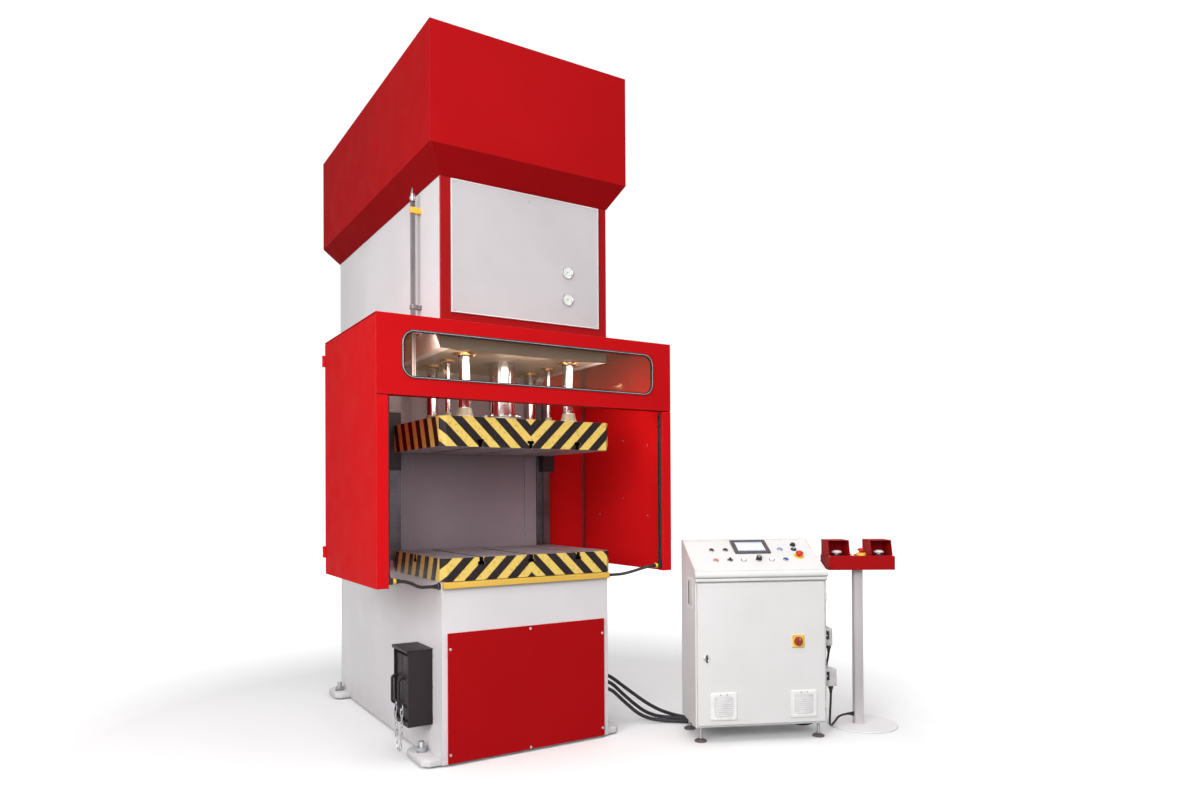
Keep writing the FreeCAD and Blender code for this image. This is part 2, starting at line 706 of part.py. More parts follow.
def edge_strip():
    half = STRIP_W / 2.0
    top = TABLE_SEAT - STRIP_GAP
    strip = block(-half, half, FRONT_Y - STRIP_T, FRONT_Y, top - STRIP_H, top)
    edges = [e for e in strip.Edges if abs(e.tangentAt(e.FirstParameter).x) > 0.99
             and e.CenterOfMass.y < FRONT_Y - STRIP_T / 2.0]
    return strip.makeFillet(4.0, edges)


save("table_edge_strip", edge_strip())
save("lower_front_panel", folded_panel(LOW_PANEL_W, LOW_PANEL_Z0, LOW_PANEL_Z1, LOW_SCREWS))
HEAD_PANEL = folded_panel(HEAD_PANEL_W, HEAD_PANEL_Z0, HEAD_PANEL_Z1, HEAD_SCREWS)
save("head_front_panel", HEAD_PANEL.cut(group(gauge_holes(PANEL_Y - 1.0, FRONT_Y))))
save("panel_screws", group([screw(x, z) for x, z in LOW_SCREWS + HEAD_SCREWS]))
save("pressure_gauges", group([gauge(z) for z in GAUGE_Z]))


# ================================================================ top cover and power pack
def level_ring(half, front, back, z):
    corners = [V(-half, front, z), V(half, front, z), V(half, back, z), V(-half, back, z)]
    return Part.makePolygon(corners + [corners[0]])


def top_cover():
    gap = SEAT_CLEAR
    rings = []
    for wall in (COVER_T, 0.0):
        low = level_ring(HALF + gap + wall, FRONT_Y - gap - wall, BACK_Y + gap + wall, COVER_SKIRT_Z)
        out = COVER_T - wall
        half = HALF + COVER_SIDE - out
        front = FRONT_Y - COVER_FRONT + out
        back = BACK_Y + COVER_BACK - out
        skirt = Part.makeLoft([low, level_ring(half, front, back, COVER_EDGE_Z)], True, True)
        box = block(-half, half, front, back, COVER_EDGE_Z, COVER_TOP_Z - out)
        rings.append(fused(skirt, box))
    return rings[0].cut(rings[1])


def oil_tank():
    half = TANK_W / 2.0
    shell = block(-half, half, TANK_FRONT_Y, TANK_BACK_Y, DECK_TOP, DECK_TOP + TANK_H)
    inside = block(-half + TANK_WALL, half - TANK_WALL, TANK_FRONT_Y + TANK_WALL,
                   TANK_BACK_Y - TANK_WALL, DECK_TOP + TANK_WALL, DECK_TOP + TANK_H - TANK_LID_T)
    filler = pin(38.0, V(half - 110.0, TANK_BACK_Y - 110.0, DECK_TOP + TANK_H),
                 V(half - 110.0, TANK_BACK_Y - 110.0, DECK_TOP + TANK_H + 60.0))
    return fused(shell.cut(inside), filler)


def pump_motor():
    # flanged motor with cooling fins on its feet, its pump in front of it
    z = DECK_TOP + TANK_H + 12.0 + MOTOR_R
    end = MOTOR_Y + MOTOR_L
    axis = V(0, 1, 0)
    body = stood(faceted([(0, 0), (62.0, 0), (62.0, 130.0), (80.0, 130.0), (80.0, 230.0),
                          (MOTOR_R - 4.0, 230.0), (MOTOR_R - 4.0, 250.0), (MOTOR_R - 14.0, 250.0),
                          (MOTOR_R - 14.0, 250.0 + MOTOR_L), (0, 250.0 + MOTOR_L)], BUTTON_SIDES),
                 V(0, MOTOR_Y - 250.0, z), axis)
    fins = []
    for k in range(MOTOR_FINS):
        fin = block(MOTOR_R - 30.0, MOTOR_R, MOTOR_Y + 20.0, end - 80.0, -3.0, 3.0)
        fin.rotate(V(0, 0, 0), axis, 360.0 * k / MOTOR_FINS)
        fin.translate(V(0, 0, z))
        fins.append(fin)
    feet = block(-110.0, 110.0, MOTOR_Y + 60.0, MOTOR_Y + 320.0, DECK_TOP + TANK_H,
                 z - MOTOR_R + 30.0)
    terminals = block(-55.0, 55.0, MOTOR_Y + 120.0, MOTOR_Y + 240.0, z + MOTOR_R - 20.0,
                      z + MOTOR_R + 24.0)
    return fused(body, feet, terminals, *fins)


def valve_block():
    # manifold on the deck with a row of solenoid valves, joined to the cylinder's end
    half = BLOCK_W / 2.0
    base = block(-half, half, -BLOCK_D / 2.0, BLOCK_D / 2.0, DECK_TOP, DECK_TOP + BLOCK_H)
    top = DECK_TOP + BLOCK_H
    pieces = [base]
    for k in (-1, 0, 1):
        x = k * 90.0
        pieces.append(block(x - 30.0, x + 30.0, -60.0, 60.0, top, top + 55.0))
        pieces.append(pin(24.0, V(x, -150.0, top + 28.0), V(x, 150.0, top + 28.0), SCREW_SIDES))
    return fused(*pieces)


save("top_cover", top_cover())
save("oil_tank", oil_tank())
save("pump_motor", pump_motor())
save("valve_block", valve_block())


# ================================================================ guard
DOOR_X = GUARD_HALF - SHEET                    # inner face of a door sheet
DOOR_TOP = GUARD_TOP - SHEET - DOOR_GAP
HINGE_X = GUARD_HALF + HINGE_OUT
HINGE_Y = GUARD_BACK + HINGE_BACK
CLOSER_OUT = DOOR_X - 2.0                      # outer edge of a rear closing sheet


def window_solid(y0, y1, grow):
    return rounded_window(WINDOW_HALF + grow, WINDOW_LOW - grow, WINDOW_TOP + grow,
                          WINDOW_R + grow, y0, y1)


def guard_hood():
    gap = SEAT_CLEAR
    roof = block(-GUARD_HALF, GUARD_HALF, GUARD_Y, GUARD_BACK, GUARD_TOP - SHEET, GUARD_TOP)
    frame = block(-HALF - gap, HALF + gap, FRONT_Y - gap, BACK_Y, GUARD_LOW, GUARD_TOP + 1.0)
    sensor = block(-SENSOR_X - SENSOR_W / 2.0 - 4.0, -HALF, SENSOR_Y - SENSOR_W / 2.0 - 4.0,
                   SENSOR_Y + SENSOR_W / 2.0 + 4.0, GUARD_TOP - SHEET - 1.0, GUARD_TOP + 1.0)
    fascia = block(-GUARD_HALF, GUARD_HALF, GUARD_Y, GUARD_Y + SHEET, FASCIA_LOW, GUARD_TOP)
    fascia = fascia.cut(window_solid(GUARD_Y - 1.0, GUARD_Y + SHEET + 1.0, 0.0))
    inset = GUARD_HALF - SHEET - DOOR_GAP
    sill = block(-inset, inset, GUARD_Y, GUARD_Y + FASCIA_RETURN, FASCIA_LOW, FASCIA_LOW + SHEET)
    lip = block(-inset, inset, GUARD_Y + FASCIA_RETURN - SHEET, GUARD_Y + FASCIA_RETURN,
                FASCIA_LOW, FASCIA_LOW + 18.0)
    pieces = [roof, fascia, sill, lip]
    for side in (-1, 1):
        edges = sorted((side * (HALF + gap), side * CLOSER_OUT))
        pieces.append(block(edges[0], edges[1], GUARD_BACK - SHEET, GUARD_BACK,
                            GUARD_LOW, GUARD_TOP))
        fold = sorted((side * (HALF + gap), side * (HALF + gap + SHEET)))
        pieces.append(block(fold[0], fold[1], GUARD_BACK - SHEET, GUARD_BACK + 36.0,
                            GUARD_LOW, GUARD_TOP))
    return fused(*pieces).cut(group([frame, sensor]))


def window_gasket():
    front = GUARD_Y - GASKET_PROUD
    back = GUARD_Y + SHEET + GASKET_PROUD
    ring = window_solid(front, back, GASKET_LIP).cut(
        window_solid(front - 1.0, back + 1.0, -GASKET_LIP))
    rim = window_solid(GUARD_Y, GUARD_Y + SHEET, GASKET_LIP + 1.0).cut(
        window_solid(GUARD_Y - 1.0, GUARD_Y + SHEET + 1.0, 0.0))
    pane_seat = window_solid(GUARD_Y, GUARD_Y + SHEET, GASKET_GRIP - GASKET_LIP)
    return ring.cut(group([rim, pane_seat]))


def guard_door():
    # the right-hand door: a folded sheet hinged at the rear, with the front return
    front = GUARD_Y + SHEET + 1.0
    sheet = block(DOOR_X, GUARD_HALF, front, GUARD_BACK, GUARD_LOW, DOOR_TOP)
    face_top = FASCIA_LOW - DOOR_GAP
    corner = block(DOOR_X, GUARD_HALF, GUARD_Y, front, GUARD_LOW, face_top)
    face = block(GUARD_HALF - COLUMN_FACE, GUARD_HALF, GUARD_Y, GUARD_Y + SHEET,
                 GUARD_LOW, face_top)
    cheek = block(GUARD_HALF - COLUMN_FACE, GUARD_HALF - COLUMN_FACE + SHEET, GUARD_Y,
                  GUARD_Y + COLUMN_DEEP, GUARD_LOW, face_top)
    turned = block(GUARD_HALF - COLUMN_FACE, DOOR_X, GUARD_Y + COLUMN_DEEP - SHEET,
                   GUARD_Y + COLUMN_DEEP, GUARD_LOW, face_top)
    low = block(GUARD_HALF - DOOR_EDGE, GUARD_HALF, GUARD_Y + COLUMN_DEEP - SHEET,
                GUARD_BACK - DOOR_GAP - SHEET, GUARD_LOW, GUARD_LOW + SHEET)
    top = block(GUARD_HALF - DOOR_EDGE, GUARD_HALF, GUARD_Y + FASCIA_RETURN + DOOR_GAP,
                GUARD_BACK - DOOR_GAP - SHEET, DOOR_TOP - SHEET, DOOR_TOP)
    rear = block(GUARD_HALF - DOOR_EDGE, GUARD_HALF, GUARD_BACK - DOOR_GAP - 2.0 * SHEET,
                 GUARD_BACK - DOOR_GAP - SHEET, GUARD_LOW, DOOR_TOP)
    pieces = [sheet, corner, face, cheek, turned, low, top, rear]
    third = HINGE_H / 3.0
    holes = []
    for z in HINGE_Z:
        start = V(HINGE_X, HINGE_Y, z - third / 2.0 + 0.2)
        end = V(HINGE_X, HINGE_Y, z + third / 2.0 - 0.2)
        pieces.append(pin(HINGE_R, start, end, SCREW_SIDES))
        pieces.append(block(DOOR_X, GUARD_HALF, GUARD_BACK, HINGE_Y, start.z, end.z))
        holes.append(hole(HINGE_PIN_R + RUN_CLEAR, V(HINGE_X, HINGE_Y, z - HINGE_H),
                          V(HINGE_X, HINGE_Y, z + HINGE_H)))
    return fused(*pieces).cut(group(holes))


def guard_hinge(z):
    # two outer knuckles, their leaf on the closing sheet and the pin through all three
    third = HINGE_H / 3.0
    leaf = block(CLOSER_OUT - HINGE_LEAF, HINGE_X, GUARD_BACK, GUARD_BACK + SHEET,
                 z - HINGE_H / 2.0, z + HINGE_H / 2.0)
    window = block(DOOR_X - 2.0, HINGE_X + HINGE_R, GUARD_BACK - 1.0, GUARD_BACK + SHEET + 1.0,
                   z - third / 2.0 - 0.2, z + third / 2.0 + 0.2)
    leaf = leaf.cut(window)
    knuckles = [pin(HINGE_R, V(HINGE_X, HINGE_Y, z + third / 2.0 + 0.2),
                    V(HINGE_X, HINGE_Y, z + HINGE_H / 2.0), SCREW_SIDES),
                pin(HINGE_R, V(HINGE_X, HINGE_Y, z - HINGE_H / 2.0),
                    V(HINGE_X, HINGE_Y, z - third / 2.0 - 0.2), SCREW_SIDES)]
    bolt = pin(HINGE_PIN_R, V(HINGE_X, HINGE_Y, z - HINGE_H / 2.0),
               V(HINGE_X, HINGE_Y, z + HINGE_H / 2.0), BUTTON_SIDES)
    return fused(leaf, bolt, *knuckles)


def light_curtain():
    # stick on the inner face of the right-hand return, its lens facing the opening
    outer = GUARD_HALF - COLUMN_FACE
    back = GUARD_Y + COLUMN_DEEP
    stick = block(outer - CURTAIN_W, outer, back - CURTAIN_D, back, CURTAIN_LOW, CURTAIN_TOP)
    middle = back - CURTAIN_D / 2.0
    lens = block(outer - CURTAIN_W - 1.0, outer - CURTAIN_W + 3.0, middle - 8.0, middle + 8.0,
                 CURTAIN_LOW + 30.0, CURTAIN_TOP - 20.0)
    return stick.cut(lens)


save("guard_hood", guard_hood())
save("window_gasket", window_gasket())
save("window_pane", window_solid(GUARD_Y, GUARD_Y + SHEET, GASKET_GRIP - GASKET_LIP))
save("guard_door_right", guard_door())
save("guard_door_left", mirrored(guard_door()))
HINGES = [guard_hinge(z) for z in HINGE_Z]
save("guard_hinges", group(HINGES + [mirrored(h) for h in HINGES]))
save("light_curtain_right", light_curtain())
save("light_curtain_left", mirrored(light_curtain()))


# ================================================================ left side of the frame
def position_sensor():
    half = SENSOR_W / 2.0
    bar = block(-SENSOR_X - half, -SENSOR_X + half, SENSOR_Y - half, SENSOR_Y + half,
                SENSOR_LOW, SENSOR_TOP)
    groove = block(-SENSOR_X - half - 1.0, -SENSOR_X - half + 5.0, SENSOR_Y - 4.0, SENSOR_Y + 4.0,
                   SENSOR_LOW - 1.0, SENSOR_TOP + 1.0)
    front = block(-SENSOR_X - 4.0, -SENSOR_X + 4.0, SENSOR_Y - half - 1.0, SENSOR_Y - half + 5.0,
                  SENSOR_LOW - 1.0, SENSOR_TOP + 1.0)
    plug = faceted([(0, 0), (SENSOR_PLUG_R, 0), (SENSOR_PLUG_R, SENSOR_PLUG_H * 0.5),
                    (SENSOR_PLUG_R * 0.72, SENSOR_PLUG_H * 0.6),
                    (SENSOR_PLUG_R * 0.72, SENSOR_PLUG_H * 0.85),
                    (SENSOR_PLUG_R * 0.4, SENSOR_PLUG_H), (0, SENSOR_PLUG_H)], BUTTON_SIDES)
    plug.translate(V(-SENSOR_X, SENSOR_Y, SENSOR_TOP))
    return fused(bar.cut(group([groove, front])), plug)


def sensor_clamp(z):
    # collar round the profile with a foot on the side plate
    half = SENSOR_W / 2.0
    wall = 7.0
    low = z - CLAMP_H / 2.0
    high = z + CLAMP_H / 2.0
    collar = block(-SENSOR_X - half - wall, -HALF, SENSOR_Y - half - wall, SENSOR_Y + half + wall,
                   low, high)
    hole = block(-SENSOR_X - half, -SENSOR_X + half, SENSOR_Y - half, SENSOR_Y + half,
                 low - 1.0, high + 1.0)
    return collar.cut(hole)


def prop_holder():
    x0 = -HALF - HOLDER_W
    t = HOLDER_T
    outer = block(x0, -HALF, HOLDER_Y0, HOLDER_Y1, HOLDER_Z0, HOLDER_Z1)
    inside = block(x0 - 1.0, -HALF - t, HOLDER_Y0 + t, HOLDER_Y1 - t, HOLDER_Z0 + t, HOLDER_Z1 - t)
    lid = block(x0 - HOLDER_LID, -HALF, HOLDER_Y0 - HOLDER_LID, HOLDER_Y1 + HOLDER_LID,
                HOLDER_Z1 - t, HOLDER_Z1)
    hem = block(x0 - HOLDER_LID, x0 - HOLDER_LID + t, HOLDER_Y0 - HOLDER_LID,
                HOLDER_Y1 + HOLDER_LID, HOLDER_Z1 - 14.0, HOLDER_Z1)
    sill = block(x0, x0 + t, HOLDER_Y0, HOLDER_Y1, HOLDER_Z0, HOLDER_Z0 + 22.0)
    return fused(outer.cut(inside), lid, hem, sill)


def prop_places():
    inner = HOLDER_Y1 - HOLDER_Y0 - 2.0 * HOLDER_T
    gap = (inner - 2.0 * PROP_W) / 3.0
    first = HOLDER_Y0 + HOLDER_T + gap
    return [first, first + PROP_W + gap]


def grip_x():
    return -HALF - HOLDER_T - 3.0 - PROP_D


def safety_prop(y0):
    # hollow square block with a bent round handle on its outer face
    z0 = HOLDER_Z0 + HOLDER_T
    x0 = grip_x()
    body = block(x0, x0 + PROP_D, y0, y0 + PROP_W, z0, z0 + PROP_H)
    hollow = block(x0 + 12.0, x0 + PROP_D - 12.0, y0 + 12.0, y0 + PROP_W - 12.0, z0 + 12.0,
                   z0 + PROP_H + 1.0)
    y = y0 + PROP_W / 2.0
    low = z0 + GRIP_LOW
    high = low + GRIP_H
    out = x0 - GRIP_OUT
    corners = [V(x0 + 1.0, y, low), V(out, y, low), V(out, y, high), V(x0 + 1.0, y, high)]
    handle = swept(bend_path(corners, 0.45)[0], GRIP_R, CABLE_SIDES)
    return body.cut(hollow).fuse(handle)


def chain_link():
    # one oval link about the origin, long along X in the plane XY
    half = LINK_W / 2.0
    straight = LINK_PITCH / 2.0 + LINK_WIRE_R + LINK_PLAY - half
    path = []
    for side in (1, -1):
        for step in range(LINK_STEPS + 1):
            angle = math.pi * step / LINK_STEPS - math.pi / 2.0
            path.append(V(side * (straight + half * math.cos(angle)), side * half * math.sin(angle), 0))
    return swept(path, LINK_WIRE_R, LINK_SIDES, True)


def chain_slopes(span):
    # slopes of equal links hanging freely between two eyes this far apart
    low, high = 0.001, 100.0
    for _ in range(60):
        pull = (low + high) / 2.0
        slopes = [math.atan(pull * (k - (CHAIN_LINKS - 1) / 2.0)) for k in range(CHAIN_LINKS)]
        if LINK_PITCH * sum(math.cos(slope) for slope in slopes) > span:
            low = pull
        else:
            high = pull
    return slopes


def prop_chains():
    # a zinc chain that hangs between the two handles from a ring on each
    first, second = prop_places()
    bar = HOLDER_Z0 + HOLDER_T + GRIP_LOW
    x = grip_x() - GRIP_OUT + 16.0
    ring_z = bar + GRIP_R + LINK_PLAY + LINK_WIRE_R - RING_R
    ring = swept(ring_points(RING_R, 0.0, RING_SIDES), LINK_WIRE_R, LINK_SIDES, True)
    links = [stood(ring, V(x, y0 + PROP_W / 2.0, ring_z), V(1, 0, 0)) for y0 in (first, second)]
    joint = V(x, first + PROP_W / 2.0, ring_z - RING_R + LINK_WIRE_R + LINK_PLAY)
    link = chain_link()
    for k, slope in enumerate(chain_slopes(second - first)):
        way = V(0, math.cos(slope), math.sin(slope)) * LINK_PITCH
        one = link.copy()
        one.rotate(V(0, 0, 0), V(1, 0, 0), 90.0 * (k % 2))
        one.rotate(V(0, 0, 0), V(0, 0, 1), 90.0)
        one.rotate(V(0, 0, 0), V(1, 0, 0), math.degrees(slope))
        one.translate(joint + way * 0.5)
        joint = joint + way
        links.append(one)
    return group(links)


save("position_sensor", position_sensor())
save("sensor_clamps", group([sensor_clamp(z) for z in CLAMP_Z]))
save("prop_holder", prop_holder())
save("safety_props", group([safety_prop(y0) for y0 in prop_places()]))
save("prop_chains", prop_chains())


# ================================================================ control desk
DESK = FreeCAD.Placement(V(DESK_X, DESK_Y, 0), FreeCAD.Rotation(V(0, 0, 1), DESK_TURN))
SLOPE = math.atan2(DESK_BACK_Z - DESK_LIP_Z, DESK_TOP_D)
DESK_FACE = 2.0 * DESK_STEP                    # body front behind the lip


def at_desk(shape):
    moved = shape.copy()
    moved.Placement = DESK.multiply(moved.Placement)
    return moved


def slope_point(a, s, lift=0.0):
    # a point of the sloped top: a along the desk, s up the slope, lift off it
    return V(a, s * math.cos(SLOPE) - lift * math.sin(SLOPE),
             DESK_LIP_Z + s * math.sin(SLOPE) + lift * math.cos(SLOPE))


def on_slope(a, s, shape):
    # stands a shape, made about the Z axis, on the slope
    moved = shape.copy()
    tilt = FreeCAD.Rotation(V(1, 0, 0), math.degrees(SLOPE))
    moved.Placement = FreeCAD.Placement(slope_point(a, s), tilt).multiply(moved.Placement)
    return moved


def desk_profile(inset):
    lip = DESK_LIP_Z - DESK_LIP_H
    body = lip - DESK_LIP_H
    low = DESK_FOOT + inset
    rise = inset / math.cos(SLOPE)
    points = [(DESK_FACE + inset, low), (DESK_FACE + inset, body + inset),
              (DESK_STEP + inset, body + inset), (DESK_STEP + inset, lip + inset),
              (inset, lip + inset), (inset, DESK_LIP_Z + inset * math.tan(SLOPE) - rise),
              (DESK_TOP_D, DESK_BACK_Z - rise), (DESK_D - inset, DESK_BACK_Z - rise),
              (DESK_D - inset, low)]
    return [V(inset, b, z) for b, z in points]


BUTTONS = {"push_button_red": (137.0, ROW_LOW), "push_button_white": (291.0, ROW_LOW),
           "push_button_blue": (525.0, ROW_LOW)}
SELECTOR = (215.0, ROW_LOW)
SPEED_KNOB = (374.0, ROW_LOW)
FIXED_CONTROLS = [(137.0, ROW_UP), (215.0, ROW_UP), (525.0, ROW_UP), (604.0, ROW_UP),
                  (614.0, 264.0), (447.0, ROW_LOW)]
DESK_STOP = (612.0, 150.0)


def control_hole(a, s, radius):
    return on_slope(a, s, hole(radius, V(0, 0, -30.0), V(0, 0, 10.0)))


def console_cabinet():
    wall = DESK_WALL
    outer = prism(desk_profile(0.0), V(DESK_W, 0, 0))
    inner = prism(desk_profile(wall), V(DESK_W - 2.0 * wall, 0, 0))
    door_hole = block(DESK_FRAME, DESK_W - DESK_FRAME, DESK_FACE - 1.0, DESK_FACE + wall + 1.0,
                      DESK_DOOR_LOW + DESK_FRAME - 12.0, DESK_DOOR_TOP - DESK_FRAME)
    shell = outer.cut(group([inner, door_hole]))
    collars = [on_slope(a, s, pin(COLLAR_R, V(0, 0, -wall), V(0, 0, COLLAR_H), BUTTON_SIDES))
               for a, s in list(BUTTONS.values()) + [SELECTOR, SPEED_KNOB] + FIXED_CONTROLS]
    collars.append(on_slope(*DESK_STOP, pin(26.0, V(0, 0, -wall), V(0, 0, 3.0))))
    caps = [on_slope(a, s, pin(BUTTON_R, V(0, 0, 0), V(0, 0, BUTTON_PROUD + COLLAR_H), BUTTON_SIDES))
            for a, s in FIXED_CONTROLS]
    holes = [control_hole(a, s, BUTTON_HOLE) for a, s in
             list(BUTTONS.values()) + [SELECTOR, SPEED_KNOB, DESK_STOP]]
    # gland rail inside, above the cable entry in the floor
    rail = block(ENTRY_A[0] - 40.0, ENTRY_A[-1] + 40.0, ENTRY_B - 20.0, DESK_D - wall,
                 ENTRY_Z + GLAND_L, ENTRY_Z + GLAND_L + 4.0)
    glands = [pin(GLAND_R, V(a, ENTRY_B, ENTRY_Z), V(a, ENTRY_B, ENTRY_Z + GLAND_L), HEX)
              for a in ENTRY_A]
    entry = block(ENTRY_A[0] - 40.0, ENTRY_A[-1] + 40.0, ENTRY_B - 70.0, DESK_D - wall - 15.0,
                  DESK_FOOT - 1.0, DESK_FOOT + wall + 1.0)
    hinges = [desk_hinge(z) for z in desk_hinge_heights()]
    body = fused(shell, rail, *(collars + caps + glands + hinges))
    return at_desk(body.cut(group(holes + [entry] + plug_holes())))


def plug_holes():
    return [pin(12.0, V(DESK_W - 2.0 * DESK_WALL, PLUG_B, z + PLUG_H * 0.2),
                V(DESK_W + 1.0, PLUG_B, z + PLUG_H * 0.2), HEX) for z in PLUG_Z]


DOOR_A0 = 6.0
DOOR_A1 = DESK_W - 11.0
DESK_PIN_A = DESK_W - 4.0
DESK_PIN_B = DESK_FACE - SEAT_CLEAR - DESK_DOOR_T / 2.0 - 2.0
DESK_PIN_R = 2.5
DESK_KNUCKLE_R = 5.5


def console_door():
    back = DESK_FACE - SEAT_CLEAR
    front = back - DESK_DOOR_T
    slab = block(DOOR_A0, DOOR_A1, front, back, DESK_DOOR_LOW, DESK_DOOR_TOP)
    hollow = block(DOOR_A0 + 20.0, DOOR_A1 - 20.0, front + 2.0, back + 1.0, DESK_DOOR_LOW + 16.0,
                   DESK_DOOR_TOP - 20.0)
    door = slab.cut(hollow)
    pieces = [door]
    cuts = []
    for a in VENT_A:
        half = VENT_W / 2.0
        pieces.append(block(a - half, a + half, front - 3.0, front + 8.0, VENT_Z - half, VENT_Z + half))
        for k in range(VENT_SLOTS):
            z = VENT_Z - half + 18.0 + k * 18.0
            cuts.append(block(a - half + 12.0, a + half - 12.0, front - 4.0, front + 3.0, z, z + 7.0))
    plate = SWITCH_PLATE / 2.0
    pieces.append(block(SWITCH_A - plate, SWITCH_A + plate, front - 3.0, front + 4.0,
                        SWITCH_Z - plate, SWITCH_Z + plate))
    pieces.append(pin(14.0, V(LOCK_A, front - 2.0, LOCK_Z), V(LOCK_A, front + 8.0, LOCK_Z), BUTTON_SIDES))
    for a, z in ((LOCK_A, LOCK_Z), (SWITCH_A, SWITCH_Z)):
        cuts.append(hole(SHAFT_R + SEAT_CLEAR, V(a, front - 4.0, z), V(a, back + 1.0, z)))
    for z in desk_hinge_heights():
        low = V(DESK_PIN_A, DESK_PIN_B, z - 12.0)
        high = V(DESK_PIN_A, DESK_PIN_B, z + 12.0)
        pieces.append(pin(DESK_KNUCKLE_R, low, high, SCREW_SIDES))
        pieces.append(block(DOOR_A1 - 1.0, DESK_PIN_A, DESK_PIN_B - 2.0, DESK_PIN_B + 2.0, low.z, high.z))
        cuts.append(hole(DESK_PIN_R + RUN_CLEAR, V(low.x, low.y, z - 30.0), V(low.x, low.y, z + 30.0)))
    return at_desk(fused(*pieces).cut(group(cuts)))


def desk_hinge_heights():
    return (DESK_DOOR_LOW + 90.0, DESK_DOOR_TOP - 90.0)


def desk_hinge(z):
    ends = []
    for side in (-1, 1):
        low = V(DESK_PIN_A, DESK_PIN_B, z + side * 12.3)
        high = V(DESK_PIN_A, DESK_PIN_B, z + side * 26.0)
        ends.append(pin(DESK_KNUCKLE_R, low, high, SCREW_SIDES))
        z0, z1 = sorted((low.z, high.z))
        ends.append(block(DESK_PIN_A - 2.0, DESK_PIN_A + 2.0, DESK_PIN_B, DESK_FACE, z0, z1))
    bolt = pin(DESK_PIN_R, V(DESK_PIN_A, DESK_PIN_B, z - 26.0), V(DESK_PIN_A, DESK_PIN_B, z + 26.0),
               SCREW_SIDES)
    return fused(bolt, *ends)


DOOR_FRONT = DESK_FACE - SEAT_CLEAR - DESK_DOOR_T


def door_lock():
    # quarter-turn lock: a barrel through the door with a tee handle
    face = DOOR_FRONT - 2.0
    barrel = pin(SHAFT_R, V(LOCK_A, face - 2.0, LOCK_Z), V(LOCK_A, DOOR_FRONT + 8.0, LOCK_Z), BUTTON_SIDES)
    key = block(LOCK_A - 1.5, LOCK_A + 1.5, face - 3.0, face + 1.0, LOCK_Z - 6.0, LOCK_Z + 6.0)
    tee = block(LOCK_A - 3.0, LOCK_A + 3.0, face - 7.0, face - 2.0, LOCK_Z - 13.0, LOCK_Z + 13.0)
    return at_desk(fused(barrel, tee).cut(key))


def main_switch_knob():
    face = DOOR_FRONT - 3.0
    skirt = taper(20.0, 23.0, V(SWITCH_A, face - 9.0, SWITCH_Z), V(SWITCH_A, face - SEAT_CLEAR, SWITCH_Z),
                  BUTTON_SIDES)
    bar = block(SWITCH_A - 6.0, SWITCH_A + 6.0, face - 26.0, face - 8.0, SWITCH_Z - 21.0, SWITCH_Z + 21.0)
    shaft = pin(SHAFT_R, V(SWITCH_A, face - 2.0, SWITCH_Z), V(SWITCH_A, DOOR_FRONT + 8.0, SWITCH_Z),
                BUTTON_SIDES)
    return at_desk(fused(skirt, bar, shaft))


def operator_display():
    bezel = block(-DISPLAY_W / 2.0, DISPLAY_W / 2.0, -DISPLAY_H / 2.0, DISPLAY_H / 2.0, 0, 7.0)
    rim = [e for e in bezel.Edges if abs(e.tangentAt(e.FirstParameter).z) > 0.99]
    bezel = bezel.makeFillet(8.0, rim)
    screen = block(-DISPLAY_W / 2.0 + 24.0, DISPLAY_W / 2.0 - 24.0, -DISPLAY_H / 2.0 + 24.0,
                   DISPLAY_H / 2.0 - 20.0, 5.5, 8.0)
    return at_desk(on_slope(DISPLAY_A, DISPLAY_S, bezel.cut(screen)))


def push_button(a, s):
    top = BUTTON_PROUD + COLLAR_H
    cap = faceted([(0, -14.0), (BUTTON_R + 3.0, -14.0), (BUTTON_R + 3.0, -11.0), (BUTTON_R, -11.0),
                   (BUTTON_R, top), (0, top)], BUTTON_SIDES)
    return at_desk(on_slope(a, s, cap))


def selector_switch():
    drum = pin(BUTTON_R, V(0, 0, -14.0), V(0, 0, COLLAR_H + 3.0), BUTTON_SIDES)
    grip = block(-3.5, 3.5, -BUTTON_R + 0.5, BUTTON_R - 0.5, COLLAR_H + 3.0, COLLAR_H + 13.0)
    return at_desk(on_slope(*SELECTOR, drum.fuse(grip)))


def speed_knob():
    low = COLLAR_H + SEAT_CLEAR
    knob = faceted([(0, -14.0), (BUTTON_R, -14.0), (BUTTON_R, low), (17.0, low),
                    (14.0, COLLAR_H + 22.0), (0, COLLAR_H + 22.0)], BUTTON_SIDES)
    return at_desk(on_slope(*SPEED_KNOB, knob))


def stop_button(base):
    # mushroom head on its stem, about the Z axis; base is the face it stands over
    return faceted([(0, base - 18.0), (BUTTON_R, base - 18.0), (BUTTON_R, base + 12.0),
                    (17.0, base + 12.0), (20.0, base + 16.0), (19.0, base + 22.0),
                    (12.0, base + 27.0), (0, base + 28.0)], BUTTON_SIDES)


def desk_feet():
    feet = []
    for a in (34.0, DESK_W - 34.0):
        for b in (DESK_FACE + 34.0, DESK_D - 34.0):
            foot = faceted([(0, 0), (DESK_FOOT_R, 0), (DESK_FOOT_R, 8.0), (9.0, 18.0),
                            (9.0, DESK_FOOT - 20.0), (15.0, DESK_FOOT - 20.0), (15.0, DESK_FOOT),
                            (0, DESK_FOOT)], SCREW_SIDES)
            foot.translate(V(a, b, 0))
            feet.append(foot)
    return at_desk(group(feet))


